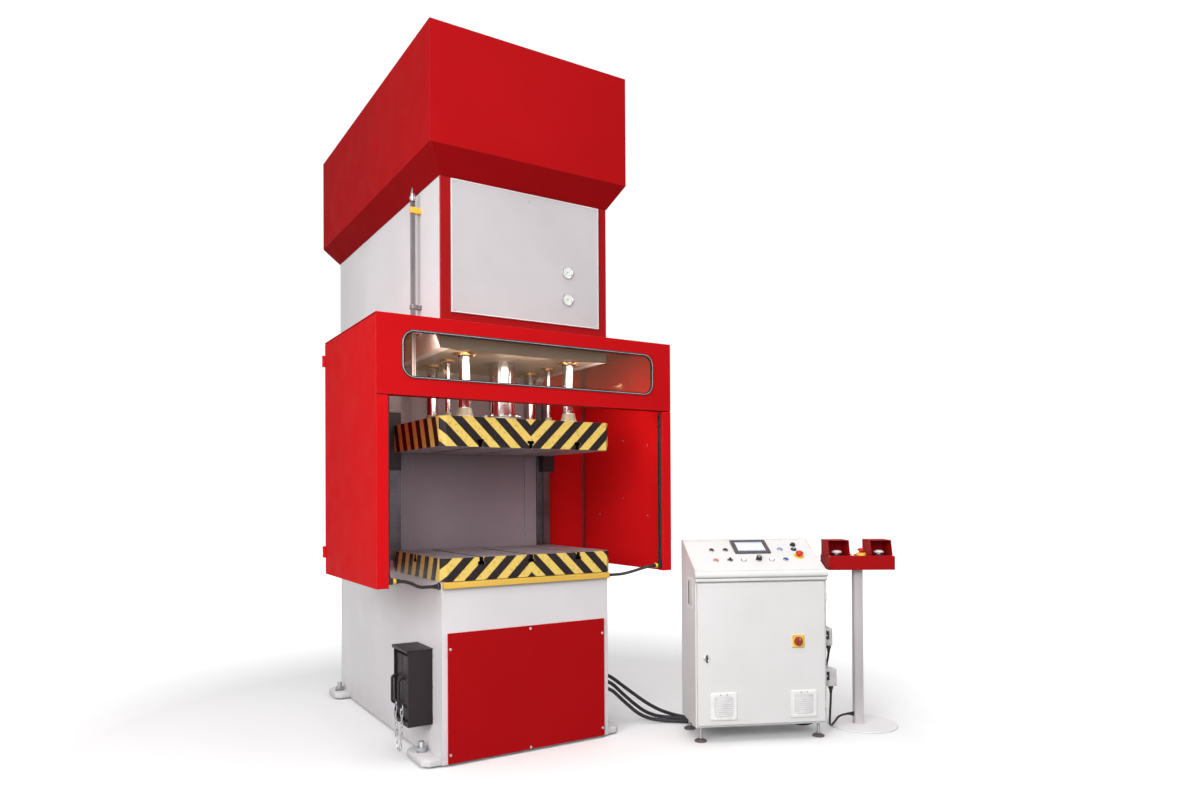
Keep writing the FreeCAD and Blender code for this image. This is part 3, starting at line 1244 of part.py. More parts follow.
def side_plug(z, out):
    # multi-pole plug hood on the right side, its cable leaving downwards
    low = z - PLUG_H / 2.0
    half = PLUG_W / 2.0
    frame = block(DESK_W, DESK_W + 16.0, PLUG_B - half - 4.0, PLUG_B + half + 4.0, low + 20.0, low + PLUG_H)
    hood = block(DESK_W + 16.0, DESK_W + out, PLUG_B - half, PLUG_B + half, low + 12.0, low + PLUG_H)
    edges = [e for e in hood.Edges if abs(e.tangentAt(e.FirstParameter).y) > 0.99
             and e.CenterOfMass.x > DESK_W + out - 1.0 and e.CenterOfMass.z > z]
    hood = hood.makeChamfer(14.0, edges)
    gland = pin(13.0, V(DESK_W + out / 2.0 + 8.0, PLUG_B, low - 8.0),
                V(DESK_W + out / 2.0 + 8.0, PLUG_B, low + 12.0))
    return fused(frame, hood, gland)


save("console_cabinet", console_cabinet())
save("console_door", console_door())
save("door_lock", door_lock())
save("main_switch_knob", main_switch_knob())
save("operator_display", operator_display())
for name, (a, s) in BUTTONS.items():
    save(name, push_button(a, s))
save("selector_switch", selector_switch())
save("speed_knob", speed_knob())
save("emergency_stop_desk", at_desk(on_slope(*DESK_STOP, stop_button(3.0))))
save("console_feet", desk_feet())
save("console_plugs", at_desk(group([side_plug(z, out) for z, out in zip(PLUG_Z, PLUG_OUT)])))


# ================================================================ two-hand stand
STAND = FreeCAD.Placement(V(STAND_X, STAND_Y, 0), FreeCAD.Rotation(V(0, 0, 1), STAND_TURN))
TRAY_TOP = TRAY_LOW + TRAY_H


def at_stand(shape):
    moved = shape.copy()
    moved.Placement = STAND.multiply(moved.Placement)
    return moved


def control_stand():
    disc = pin(STAND_R, V(0, 0, 0), V(0, 0, STAND_T), WIDE_SIDES)
    half = POLE_W / 2.0
    pole = block(POLE_SHIFT - half, POLE_SHIFT + half, -half, half, STAND_T, TRAY_LOW)
    inner = half - POLE_WALL
    bore = block(POLE_SHIFT - inner, POLE_SHIFT + inner, -inner, inner, STAND_T, TRAY_LOW + 1.0)
    gland = pin(GLAND_R, V(POLE_SHIFT - half, 0, 60.0), V(POLE_SHIFT - half - GLAND_L, 0, 60.0), HEX)
    return at_stand(fused(disc, pole.cut(bore), gland))


def palm_hood(a):
    # a sheet cover open to the front, its cheeks leaning back
    half = HOOD_W / 2.0
    back = TRAY_D / 2.0
    front = -TRAY_D / 2.0 + 20.0
    top = TRAY_TOP + HOOD_H
    outline = [V(a - half, front, TRAY_TOP), V(a - half, front + HOOD_LEAN, top), V(a - half, back, top),
               V(a - half, back, TRAY_TOP)]
    shell = prism(outline, V(HOOD_W, 0, 0))
    inside = block(a - half + HOOD_T, a + half - HOOD_T, front - HOOD_LEAN, back - HOOD_T,
                   TRAY_TOP - 1.0, top - HOOD_T)
    return shell.cut(inside)


def button_tray():
    half = TRAY_W / 2.0
    depth = TRAY_D / 2.0
    shell = block(POLE_SHIFT - half, POLE_SHIFT + half, -depth, depth, TRAY_LOW, TRAY_TOP)
    inside = block(POLE_SHIFT - half + HOOD_T, POLE_SHIFT + half - HOOD_T, -depth + HOOD_T,
                   depth - HOOD_T, TRAY_LOW + HOOD_T, TRAY_TOP - HOOD_T)
    places = palm_places()
    hoods = [palm_hood(a) for a in places]
    rings = [pin(PALM_R + 2.0, V(a, -12.0, TRAY_TOP), V(a, -12.0, TRAY_TOP + 6.0), BUTTON_SIDES)
             for a in places]
    rings.append(pin(26.0, V(stand_stop_a(), -20.0, TRAY_TOP), V(stand_stop_a(), -20.0, TRAY_TOP + 14.0)))
    lamp = faceted([(0, -1.0), (10.0, -1.0), (10.0, 6.0), (6.0, 13.0), (0, 14.0)], SCREW_SIDES)
    lamp.translate(V(POLE_SHIFT - 34.0, -20.0, TRAY_TOP))
    buttons = [(a, -12.0) for a in places] + [(stand_stop_a(), -20.0)]
    holes = [hole(BUTTON_HOLE, V(a, b, TRAY_TOP - 10.0), V(a, b, TRAY_TOP + 30.0)) for a, b in buttons]
    return at_stand(fused(shell.cut(inside), lamp, *(hoods + rings)).cut(group(holes)))


def palm_places():
    return [POLE_SHIFT - PALM_A, POLE_SHIFT + PALM_A]


def stand_stop_a():
    return POLE_SHIFT + 16.0


def palm_button(a):
    base = TRAY_TOP + 6.0
    head = faceted([(0, base - 20.0), (BUTTON_R, base - 20.0), (BUTTON_R, base + 8.0),
                    (PALM_R - 4.0, base + 8.0), (PALM_R, base + 13.0), (PALM_R - 3.0, base + 20.0),
                    (PALM_R - 14.0, base + 24.0), (0, base + 25.0)], BUTTON_SIDES)
    head.translate(V(a, -12.0, 0))
    return at_stand(head)


save("control_stand", control_stand())
save("button_tray", button_tray())
for name, a in zip(("palm_button_left", "palm_button_right"), palm_places()):
    save(name, palm_button(a))
STAND_STOP = stop_button(TRAY_TOP + 14.0)
STAND_STOP.translate(V(stand_stop_a(), -20.0, 0))
save("emergency_stop_stand", at_stand(STAND_STOP))


# ================================================================ cables
def desk_point(a, b, z):
    return DESK.multVec(V(a, b, z))


def gland_end(index, rise):
    # the upright last run of a cable, up to its gland inside the desk
    a = ENTRY_A[index]
    return [desk_point(a, ENTRY_B, ENTRY_Z - rise), desk_point(a, ENTRY_B, ENTRY_Z)]


GLAND_FACE = HALF + GLAND_L
# from the gland on the side plate to the foot of the desk's gland rail, and the rail's gland
ROUTES = {
    "floor_cable_1": ([(GLAND_FACE, -84, 300), (585, -84, 300), (735, -120, 176), (870, -181, 67),
                       (1000, -245, 14), (1095, -365, 12), (1150, -515, 12)], 2),
    "floor_cable_2": ([(GLAND_FACE, -112, 268), (585, -112, 268), (715, -134, 136), (835, -180, 32),
                       (960, -245, 13), (1050, -350, 12), (1086, -486, 12)], 1),
    "floor_cable_3": ([(GLAND_FACE, -140, 225), (580, -140, 225), (672, -158, 132), (776, -200, 32),
                       (885, -275, 12), (985, -345, 12), (1023, -457, 12)], 0),
}

GLANDS = []
for name, (route, entry) in ROUTES.items():
    points = [V(*point) for point in route]
    GLANDS.append(pin(GLAND_R, V(HALF, points[0].y, points[0].z), points[0], HEX))
    save(name, cable(points + gland_end(entry, ENTRY_RISE), CABLE_R, name))


def curtain_lead(side):
    # from the side plate under the table to the foot of a light curtain
    out = GUARD_HALF - COLUMN_FACE - CURTAIN_W - SEAT_CLEAR
    middle = GUARD_Y + COLUMN_DEEP - CURTAIN_D / 2.0
    points = [(GLAND_FACE, -288.0, 864.0), (GLAND_FACE + 50.0, -288.0, 864.0), (581.5, -312.0, 868.0),
              (640.7, -376.8, 896.0), (out - 52.0, middle, CURTAIN_LOW + 12.0),
              (out, middle, CURTAIN_LOW + 12.0)]
    return [V(side * x, y, z) for x, y, z in points]


for side, name in ((-1, "curtain_cable_left"), (1, "curtain_cable_right")):
    save(name, cable(curtain_lead(side), CURTAIN_LEAD_R, name))
LEAD_START = curtain_lead(1)[0]
CURTAIN_GLAND = pin(GLAND_R, V(HALF, LEAD_START.y, LEAD_START.z), LEAD_START, HEX)
save("frame_side_right", fused(frame_side(), CURTAIN_GLAND, *GLANDS))
save("frame_side_left", mirrored(fused(frame_side(), CURTAIN_GLAND)))


def plug_start(index):
    out = PLUG_OUT[index]
    return desk_point(DESK_W + out / 2.0 + 8.0, PLUG_B, PLUG_Z[index] - PLUG_H / 2.0 - 8.0)


POLE_GLAND = STAND.multVec(V(POLE_SHIFT - POLE_W / 2.0 - GLAND_L, 0, 60.0))
POLE_APPROACH = STAND.multVec(V(POLE_SHIFT - POLE_W / 2.0 - GLAND_L - 64.0, 0, 60.0))
# along the desk, behind its front, height
STAND_ROUTE = [(758, 62, 192), (762, 82, 118), (774, 116, 54), (796, 162, 20), (836, 208, 18)]
save("stand_cable", cable([plug_start(1)] + [desk_point(*p) for p in STAND_ROUTE]
                          + [POLE_APPROACH, POLE_GLAND], LEAD_R, "stand_cable"))
BACK_ROUTE = [(747, 62, 425), (747, 96, 370), (748, 107, 244), (750, 134, 136), (714, 176, 30),
              (620, 222, 14), (570, 246, 66)]
save("plug_cable", cable([plug_start(0)] + [desk_point(*p) for p in BACK_ROUTE]
                         + gland_end(3, LEAD_RISE), LEAD_R, "plug_cable"))
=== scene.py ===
import bpy
import bmesh
import math
from mathutils import Matrix, Vector


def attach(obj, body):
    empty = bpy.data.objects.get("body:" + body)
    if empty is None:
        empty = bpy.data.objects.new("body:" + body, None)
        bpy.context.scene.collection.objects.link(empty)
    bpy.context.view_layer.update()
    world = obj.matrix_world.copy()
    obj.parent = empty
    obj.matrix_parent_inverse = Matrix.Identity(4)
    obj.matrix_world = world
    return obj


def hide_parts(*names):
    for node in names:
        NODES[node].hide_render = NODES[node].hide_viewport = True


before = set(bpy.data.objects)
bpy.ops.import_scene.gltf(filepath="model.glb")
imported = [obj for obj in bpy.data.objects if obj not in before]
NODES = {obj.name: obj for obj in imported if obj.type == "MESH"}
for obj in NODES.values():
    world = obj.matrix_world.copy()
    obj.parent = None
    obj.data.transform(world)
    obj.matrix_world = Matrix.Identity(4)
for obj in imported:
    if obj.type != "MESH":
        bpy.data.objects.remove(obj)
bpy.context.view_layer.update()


# ---------------------------------------------------------------- helpers for places
MM = Matrix.Scale(0.001, 4)


def turn(degrees, axis="Z"):
    """A turn about an axis."""
    return Matrix.Rotation(math.radians(degrees), 4, axis)


def at(x, y, z, spin=Matrix()):
    """A place in millimetres, with a turn."""
    return Matrix.Translation((x / 1000, y / 1000, z / 1000)) @ spin


def linked(name, data):
    """A new object in the scene."""
    made = bpy.data.objects.new(name, data)
    bpy.context.scene.collection.objects.link(made)
    return made


# ---------------------------------------------------------------- camera
def place_camera():
    """The camera that was solved from the photograph: its place, heading, pitch and roll."""
    lens = bpy.data.cameras.new("camera")
    lens.lens, lens.sensor_width = 24.639, 36
    lens.shift_x, lens.shift_y = 0.00133, 0.0742
    lens.dof.use_dof = False
    camera = linked("camera", lens)
    camera.matrix_world = at(-1919.52, -4037.84, 1299.65, turn(-32.1) @ turn(90.4, "X") @ turn(-0.3))
    bpy.context.scene.camera = camera


place_camera()


# ---------------------------------------------------------------- colours and nodes
def colour(code):
    """An sRGB hex colour as linear RGBA."""
    parts = [int(code[k:k + 2], 16) / 255 for k in (1, 3, 5)]
    return [p / 12.92 if p <= 0.04045 else ((p + 0.055) / 1.055) ** 2.4 for p in parts] + [1]


def feed(node, inputs):
    """Sets a node's sockets to values, or links them to other nodes' outputs."""
    for key, value in inputs.items():
        if isinstance(value, bpy.types.NodeSocket):
            node.id_data.links.new(value, node.inputs[key])
        else:
            node.inputs[key].default_value = value


def add(tree, kind, inputs=None, output=0, stops=(), **settings):
    """Adds a node with its settings, socket values or links and colour stops, and gives one of its outputs,
    or the node itself where output is None."""
    made = tree.nodes.new("ShaderNode" + kind)
    for key, value in settings.items():
        setattr(made, key, value)
    feed(made, inputs or {})
    for number, (position, code) in enumerate(stops):
        stop = made.color_ramp.elements[number] if number < 2 else made.color_ramp.elements.new(position)
        stop.position = position
        stop.color = colour(code)
    return made if output is None else made.outputs[output]


def start_material(name, *clouds):
    """A new material with its tree, its shader, the place on the object in metres, and one noise for each
    size in millimetres, detail and roughness."""
    material = bpy.data.materials.new(name)
    material.use_nodes = True
    tree = material.node_tree
    tree.nodes.clear()
    shader = add(tree, "BsdfPrincipled", output=None)
    add(tree, "OutputMaterial", {0: shader.outputs[0]}, None)
    place = add(tree, "TexCoord", output="Object")
    return material, tree, shader, place, *[
        add(tree, "TexNoise", {"Vector": place, "Scale": 1000 / size, "Detail": detail, "Roughness": rough})
        for size, detail, rough in clouds]


# ---------------------------------------------------------------- finishes
# Where one paint ends and another begins, in metres.
# The throat wall's box, where painted shade darkens the frame's paint.
WALL_HALF, WALL_FRONT, WALL_REAR, WALL_FLOOR = 0.4688, 0.4, 0.46, 0.886     # throat wall behind the tools
BORDER_FRONT, BORDER_LOW = -0.2985, 2.126                                   # red border of the head
RIM_SIDE, RIM_FRONT, RIM_CORNER = 0.478, -0.3355, 0.788                     # rim of table and ram
DIRT_HEIGHT = 0.16


def near_edges(tree, radius_mm, sharp=0.8):
    """A mask that is 1 on a form's edges, and the surface's normal with those edges rounded."""
    soft = add(tree, "Bevel", {"Radius": radius_mm / 1000}, samples=4)
    flat = add(tree, "NewGeometry", output="Normal")
    same = add(tree, "VectorMath", {0: soft, 1: flat}, "Value", operation="DOT_PRODUCT")
    return add(tree, "MapRange", {"Value": same, 1: 0.985, 2: sharp, 3: 0, 4: 1}), soft


def rub(tree, edge, scuffs, low, high, least, most):
    """How far handling has thinned the paint on the edges, and on enamel how far a painted highlight lies
    there, in patches that follow a noise.
    """
    handled = add(tree, "MapRange", {"Value": scuffs, 1: low, 2: high, 3: least, 4: most})
    return add(tree, "Math", {0: edge, 1: handled}, operation="MULTIPLY")


def dress(tree, shader, paint, worn, bare, gloss, smooth, rough, relief, depth, strength, soft, rest, matt=0):
    """Joins a finish: paint worn to a barer colour, which on enamel edges is also a painted highlight,
    roughness that wanders between two values and grows where it is worn, relief in metres over the rounded
    edges, and the rest of the shader's values."""
    spread = add(tree, "MapRange", {"Value": gloss, 1: 0.3, 2: 0.7, 3: smooth, 4: rough})
    feed(shader, {"Base Color": add(tree, "Mix", {0: worn, 6: paint, 7: colour(bare)}, 2, data_type="RGBA"),
        "Roughness": add(tree, "Math", {0: worn, 1: matt, 2: spread},
        operation="MULTIPLY_ADD") if matt else spread, "Normal": add(tree, "Bump", {"Height": relief,
        "Distance": depth, "Strength": strength, "Normal": soft}), **rest})


def stove_enamel(name, light, dark, roughness, rubbed, peel_mm=6, wear=0.55, shine=0.14):
    """Sprayed and baked enamel on sheet steel: slow drifts of tone, orange peel that breaks up reflections,
    wiped patches with less gloss, undersides a shade darker as painted shade, and lighter edges that are
    partly paint rubbed thin by handling and partly painted highlight. The peel is drawn at about three times
    its real size so that it shows."""
    material, tree, shader, place, cloud, scuffs, wiped, peel = start_material(
        name, (480, 4, 0.5), (26, 8, 0.62), (130, 6, 0.6), (peel_mm, 1, 0.5))
    edge, soft = near_edges(tree, 4)
    drift = add(tree, "ValToRGB", {0: cloud}, stops=[(0.3, dark), (0.7, light)])
    # Lighter edges: partly paint rubbed thin, partly painted highlight.
    thin = rub(tree, edge, scuffs, 0.36, 0.62, 0.15, wear)
    # Painted shade: faces that turn downwards are multiplied to a darker tone.
    up = add(tree, "SeparateXYZ", {0: add(tree, "NewGeometry", output="Normal")}, 2)
    under = add(tree, "MapRange", {"Value": up, 1: -0.35, 2: -0.55, 3: 0, 4: 1})
    shaded_underside = add(tree, "Mix", {0: under, 6: drift, 7: colour("#DFDFDF")}, 2, data_type="RGBA",
                blend_type="MULTIPLY")
    dress(tree, shader, shaded_underside, thin, rubbed, wiped, roughness - 0.07, roughness + 0.1, peel, 0.0004, 0.3,
        soft, {"IOR": 1.5, "Specular IOR Level": shine}, 0.25)
    return material


def frame_enamel(name, light, dark, shade_light, shade_dark, roughness, rubbed):
    """The frame's light grey enamel, with a darker mauve grey on the throat wall behind the tools that is
    painted shade and painted red light reflected inside the guard, a greyer foot where floor dirt settles,
    and lighter edges that are partly rubbed by slings and sleeves and partly painted highlight. The peel is
    drawn at about three times its real size so that it shows."""
    material, tree, shader, place, cloud, blots, scuffs, wiped, peel = start_material(
        name, (520, 5, 0.5), (60, 6, 0.6), (30, 8, 0.62), (150, 6, 0.6), (7, 1, 0.5))
    edge, soft = near_edges(tree, 5)
    axes = add(tree, "SeparateXYZ", {0: place}, None)
    open_paint = add(tree, "ValToRGB", {0: cloud}, stops=[(0.3, dark), (0.7, light)])
    # Painted shade: the throat wall takes the frame's grey darkened and tinted red, as the shade and red
    # reflected light inside the guard.
    painted_wall_shade = add(tree, "ValToRGB", {0: cloud}, stops=[(0.3, shade_dark), (0.7, shade_light)])
    middle = add(tree, "Math", {0: axes.outputs[0]}, operation="ABSOLUTE")
    wall = add(tree, "Math", {0: middle, 1: WALL_HALF}, operation="LESS_THAN")
    for axis, start, end, first, last in ((1, WALL_FRONT, WALL_FRONT + 0.004, 0, 1),
                                          (2, WALL_FLOOR, WALL_FLOOR + 0.004, 0, 1),
                                          (1, WALL_REAR, WALL_REAR + 0.01, 1, 0)):
        mask = add(tree, "MapRange", {"Value": axes.outputs[axis], 1: start, 2: end, 3: first, 4: last})
        wall = add(tree, "Math", {0: wall, 1: mask}, operation="MULTIPLY")
    painted = add(tree, "Mix", {0: wall, 6: open_paint, 7: painted_wall_shade}, 2, data_type="RGBA")
    low = add(tree, "MapRange", {"Value": axes.outputs[2], 1: 0, 2: DIRT_HEIGHT, 3: 0.3, 4: 0})
    dirt = rub(tree, low, blots, 0.35, 0.65, 0.2, 1)
    soiled = add(tree, "Mix", {0: dirt, 6: painted, 7: colour("#8E8782")}, 2, data_type="RGBA")
    # Lighter edges: partly paint rubbed thin, partly painted highlight.
    thin = rub(tree, edge, scuffs, 0.38, 0.64, 0.1, 0.6)
    dress(tree, shader, soiled, thin, rubbed, wiped, roughness - 0.07, roughness + 0.1, peel, 0.0004, 0.3,
        soft, {"IOR": 1.5, "Specular IOR Level": 0.3})
    return material


def head_enamel(name, red, grey, roughness):
    """The head's paint: red on the front border, sprayed up to a masked line, and behind it on the bed and
    the deck the frame's grey painted darker and warmer, as painted shade and warm lamp light under the head,
    with orange peel at about three times its real size so that it shows."""
    material, tree, shader, place, cloud, scuffs, peel = start_material(
        name, (300, 5, 0.5), (26, 8, 0.62), (6, 1, 0.5))
    edge, soft = near_edges(tree, 4)
    axes = add(tree, "SeparateXYZ", {0: place}, None)
    front = add(tree, "Math", {0: axes.outputs[1], 1: BORDER_FRONT}, operation="LESS_THAN")
    above = add(tree, "Math", {0: axes.outputs[2], 1: BORDER_LOW}, operation="GREATER_THAN")
    masked = add(tree, "Math", {0: front, 1: above}, operation="MULTIPLY")
    # Painted shade and warm lamp light: the grey behind the border is darker and warmer than the frame's
    # grey.
    border, behind = (add(tree, "ValToRGB", {0: cloud}, stops=[(0.3, dark), (0.7, light)])
                      for light, dark in (red, grey))
    painted = add(tree, "Mix", {0: masked, 6: behind, 7: border}, 2, data_type="RGBA")
    # Lighter edges: partly paint rubbed thin, partly painted highlight.
    thin = rub(tree, edge, scuffs, 0.36, 0.62, 0.1, 0.5)
    dress(tree, shader, painted, thin, "#E0B0AE", scuffs, roughness - 0.05, roughness + 0.1, peel, 0.0004,
        0.3, soft, {"IOR": 1.5, "Specular IOR Level": 0.08})
    return material


def ground_steel(name, light, dark, roughness, stretch, worn="#C9C7C8"):
    """Milled and ground steel under a film of oil: cutter lines, faint stains, soft reflections and bright
    edges. The cutter lines are drawn a few times wider than real ones so that they show."""
    material, tree, shader, place, stains = start_material(name, (150, 7, 0.6))
    edge, soft = near_edges(tree, 1.6)
    lines = add(tree, "Mapping", {"Vector": place, "Scale": stretch})
    cutter = add(tree, "TexNoise", {"Vector": lines, "Scale": 1, "Detail": 3})
    mixed = add(tree, "Math", {0: cutter, 1: 0.45, 2: stains}, operation="MULTIPLY_ADD")
    metal = add(tree, "ValToRGB", {0: mixed}, stops=[(0.45, dark), (0.95, light)])
    bright = add(tree, "Math", {0: edge, 1: 0.7}, operation="MULTIPLY")
    dress(tree, shader, metal, bright, worn, stains, roughness - 0.07, roughness + 0.1, cutter, 0.0001, 0.45,
          soft, {"Metallic": 1})
    return material


def moulded(name, light, dark, roughness, grain_mm=1.6, depth=0.0002, polished="#FFFFFF", hands=0.06):
    """Moulded plastic or rubber: the fine grain of its tool, edges polished a little by hands."""
    material, tree, shader, place, cloud, grain = start_material(name, (35, 3, 0.5), (grain_mm, 2, 0.5))
    edge, soft = near_edges(tree, 0.8)
    drift = add(tree, "ValToRGB", {0: cloud}, stops=[(0.3, dark), (0.7, light)])
    shone = add(tree, "Math", {0: edge, 1: hands}, operation="MULTIPLY")
    dress(tree, shader, drift, shone, polished, grain, roughness - 0.04, roughness + 0.06, grain, depth, 0.45,
          soft, {"IOR": 1.48, "Specular IOR Level": 0.35})
    return material


def cast_paint(name, light, dark, roughness):
    """Hammered machine paint on a casting or a tank: coarse dimples under the paint and dusty tops."""
    material, tree, shader, place, cloud, blots, dimples = start_material(
        name, (90, 6, 0.6), (45, 5, 0.5), (9, 2, 0.5))
    edge, soft = near_edges(tree, 3)
    drift = add(tree, "ValToRGB", {0: cloud}, stops=[(0.3, dark), (0.7, light)])
    up = add(tree, "SeparateXYZ", {0: add(tree, "NewGeometry", output="Normal")}, 2)
    top = add(tree, "MapRange", {"Value": up, 1: 0.5, 2: 0.95, 3: 0, 4: 0.35})
    dust = rub(tree, top, blots, 0.35, 0.7, 0.3, 1)
    dusty = add(tree, "Mix", {0: dust, 6: drift, 7: colour("#A39C92")}, 2, data_type="RGBA")
    chipped = add(tree, "Math", {0: edge, 1: 0.35}, operation="MULTIPLY")
    dress(tree, shader, dusty, chipped, "#A8A9AB", blots, roughness - 0.05, roughness + 0.12, dimples, 0.0008,
          0.5, soft, {"IOR": 1.5})
    return material


def hazard_paint(name, lean, slot_middle, slot_half, pitch_mm=57):
    """Gloss hazard bands painted round the rim of a machined plate and scuffed by tooling. The plate's faces
    are bare milled steel with cutter lines and oil stains, and its T-slots, whose height is given, are
    painted near-black as painted shade inside them. The cutter lines are drawn a few times wider than real
    ones so that they show."""
    material, tree, shader, place, scuff, stain = start_material(name, (18, 7, 0.6), (120, 6, 0.5))
    edge, soft = near_edges(tree, 2.2)
    x, y, z = add(tree, "SeparateXYZ", {0: place}, None).outputs
    faces = add(tree, "SeparateXYZ", {0: add(tree, "NewGeometry", output="Normal")}, None).outputs
    across, facing, level = (add(tree, "Math", {0: value}, operation="ABSOLUTE") for value in (x, faces[0],
        faces[2]))
    slanted = add(tree, "Math", {0: z, 1: lean, 2: across}, operation="MULTIPLY_ADD")
    sideways = add(tree, "Math", {0: z, 1: 0.35 * lean, 2: y}, operation="MULTIPLY_ADD")
    on_side = add(tree, "Math", {0: facing, 1: 0.8}, operation="GREATER_THAN")
    along = add(tree, "Mix", {0: on_side, 2: slanted, 3: sideways}, data_type="FLOAT")
    turns = add(tree, "Math", {0: along, 1: 500 / pitch_mm}, operation="MULTIPLY")
    part = add(tree, "Math", {0: turns}, operation="FRACT")
    band = add(tree, "Math", {0: part, 1: 0.5}, operation="GREATER_THAN")
    yellow = add(tree, "ValToRGB", {0: scuff}, stops=[(0.3, "#BC9949"), (0.46, "#E3C365")])
    black = add(tree, "ValToRGB", {0: scuff}, stops=[(0.3, "#352B2E"), (0.44, "#21181B")])
    paint = add(tree, "Mix", {0: band, 6: yellow, 7: black}, 2, data_type="RGBA")
    outer_side = add(tree, "Math", {0: across, 1: RIM_SIDE}, operation="GREATER_THAN")
    outer_front = add(tree, "Math", {0: y, 1: RIM_FRONT}, operation="LESS_THAN")
    cut = add(tree, "Math", {0: across, 1: y}, operation="SUBTRACT")
    outer_corner = add(tree, "Math", {0: cut, 1: RIM_CORNER}, operation="GREATER_THAN")
    round_front = add(tree, "Math", {0: outer_front, 1: outer_corner}, operation="MAXIMUM")
    on_rim = add(tree, "Math", {0: outer_side, 1: round_front}, operation="MAXIMUM")
    upright = add(tree, "Math", {0: level, 1: 0.6}, operation="LESS_THAN")
    coated = add(tree, "Math", {0: on_rim, 1: upright}, operation="MULTIPLY")
    knocked = add(tree, "Math", {0: edge, 1: scuff}, operation="MULTIPLY")
    whole = add(tree, "Math", {0: knocked, 1: 0.5}, operation="LESS_THAN")
    kept = add(tree, "Math", {0: coated, 1: whole}, operation="MULTIPLY")
    lines = add(tree, "Mapping", {"Vector": place, "Scale": (3, 260, 260)})
    cutter = add(tree, "TexNoise", {"Vector": lines, "Scale": 1, "Detail": 3})
    mixed = add(tree, "Math", {0: cutter, 1: 0.4, 2: stain}, operation="MULTIPLY_ADD")
    steel = add(tree, "ValToRGB", {0: mixed}, stops=[(0.45, "#9A9397"), (0.9, "#B9B3B6")])
    # Painted shade: the T-slots' height band is coloured near-black.
    painted_slot_shade = add(tree, "Math", {0: z, 1: slot_middle, 2: slot_half}, operation="COMPARE")
    bare = add(tree, "Mix", {0: painted_slot_shade, 6: steel, 7: colour("#211B1E")}, 2, data_type="RGBA")
    feed(shader, {
        "Base Color": add(tree, "Mix", {0: kept, 6: bare, 7: paint}, 2, data_type="RGBA"),
        "Metallic": add(tree, "MapRange", {"Value": kept, 1: 0, 2: 1, 3: 0.45, 4: 0}),
        "Roughness": add(tree, "MapRange", {"Value": scuff, 1: 0.3, 2: 0.7, 3: 0.52, 4: 0.38}),
        "Normal": add(tree, "Bump", {"Height": cutter, "Distance": 0.00008, "Strength": 0.3, "Normal": soft}),
        "Specular IOR Level": 0.2})
    return material


def clear_sheet(name, tint, alpha, haze_mm=70):
    """Clear sheet such as acrylic or gauge glass, faintly hazed by wiping."""
    material, tree, shader, place, haze = start_material(name, (haze_mm, 3, 0.5))
    feed(shader, {
        "Roughness": add(tree, "MapRange", {"Value": haze, 1: 0.3, 2: 0.7, 3: 0.05, 4: 0.14}),
        "Base Color": colour(tint), "IOR": 1.49, "Specular IOR Level": 0.35, "Alpha": alpha})
    return material


def lit_lens(name, light, dark, glow):
    """Diffusing lamp lens: fine prisms under a glossy skin, a little light of its own."""
    material, tree, shader, place = start_material(name)
    prisms = add(tree, "TexVoronoi", {"Vector": place, "Scale": 700})
    tint = add(tree, "ValToRGB", {0: prisms}, stops=[(0.1, dark), (0.7, light)])
    feed(shader, {
        "Base Color": tint, "Emission Color": tint, "Emission Strength": glow, "Roughness": 0.18,
        "Normal": add(tree, "Bump", {"Height": prisms, "Distance": 0.0002, "Strength": 0.4})})
    return material


# The enamels' lighter edge colours serve both as rubbed paint and as painted highlight.
RED_COVER = stove_enamel("stove_enamel_signal_red", "#A91116", "#A31014", 0.52, "#D2494A", shine=0.012)
RED_GUARD = stove_enamel("stove_enamel_traffic_red", "#BE1318", "#B81216", 0.5, "#E5605F", shine=0.012)
# Painted light: the guard doors take the guard's red made lighter, for their sides that face the lamps.
RED_GUARD_PAINTED_LIGHTER = stove_enamel("stove_enamel_guard_red_painted_lighter", "#C91419", "#C31317", 0.5, "#E5605F", shine=0.012)
RED_TRAY = stove_enamel("stove_enamel_tray_red", "#A61317", "#9F1216", 0.5, "#C24344", shine=0.03)
FRAME_PAINT = frame_enamel("frame_enamel_light_grey", "#DEDADC", "#D3CFD1", "#968A92", "#887C83", 0.46,
    "#F1F0F0")
HEAD_PAINT = head_enamel("head_enamel_red_and_grey", ("#9D1115", "#961013"), ("#A3988A", "#948A7D"), 0.5)
PANEL_PAINT = stove_enamel("stove_enamel_panel_grey", "#C2BDBF", "#B6B1B4", 0.4, "#F4F3F3", shine=0.3)
DESK_PAINT = stove_enamel("textured_powder_coat_white", "#DFDDDD", "#D7D5D4", 0.5, "#F4F4F4", 2.4, 0.4, 0.25)
STAND_PAINT = stove_enamel("powder_coat_pale_grey", "#C6C0C2", "#BAB4B6", 0.48, "#DEDBDC", 3, shine=0.25)
# Paint of the stand's disc, and also the painted highlight on the head panel's folded edge.
DISC_AND_HIGHLIGHT_PAINT = stove_enamel("powder_coat_disc_grey_and_painted_highlight", "#F0EDEE", "#E6E2E4", 0.48, "#F0EFEF", 3, shine=0.25)
BLACK_PAINT = stove_enamel("powder_coat_black", "#281E22", "#1B1417", 0.46, "#6C686B", 3, shine=0.3)
YELLOW_PAINT = stove_enamel("gloss_paint_yellow", "#E2B852", "#D5A845", 0.44, "#F6E09A", shine=0.25)
TANK_PAINT = cast_paint("hammered_tank_grey", "#6F6E73", "#595960", 0.45)
CYLINDER_PAINT = cast_paint("cylinder_primer_grey", "#8D857F", "#746D69", 0.5)
FOOT_PAINT = cast_paint("column_foot_olive_grey", "#827E6C", "#6B6757", 0.4)
GROUND = ground_steel("ground_steel", "#A39FA2", "#7B767A", 0.36, (4, 420, 420))
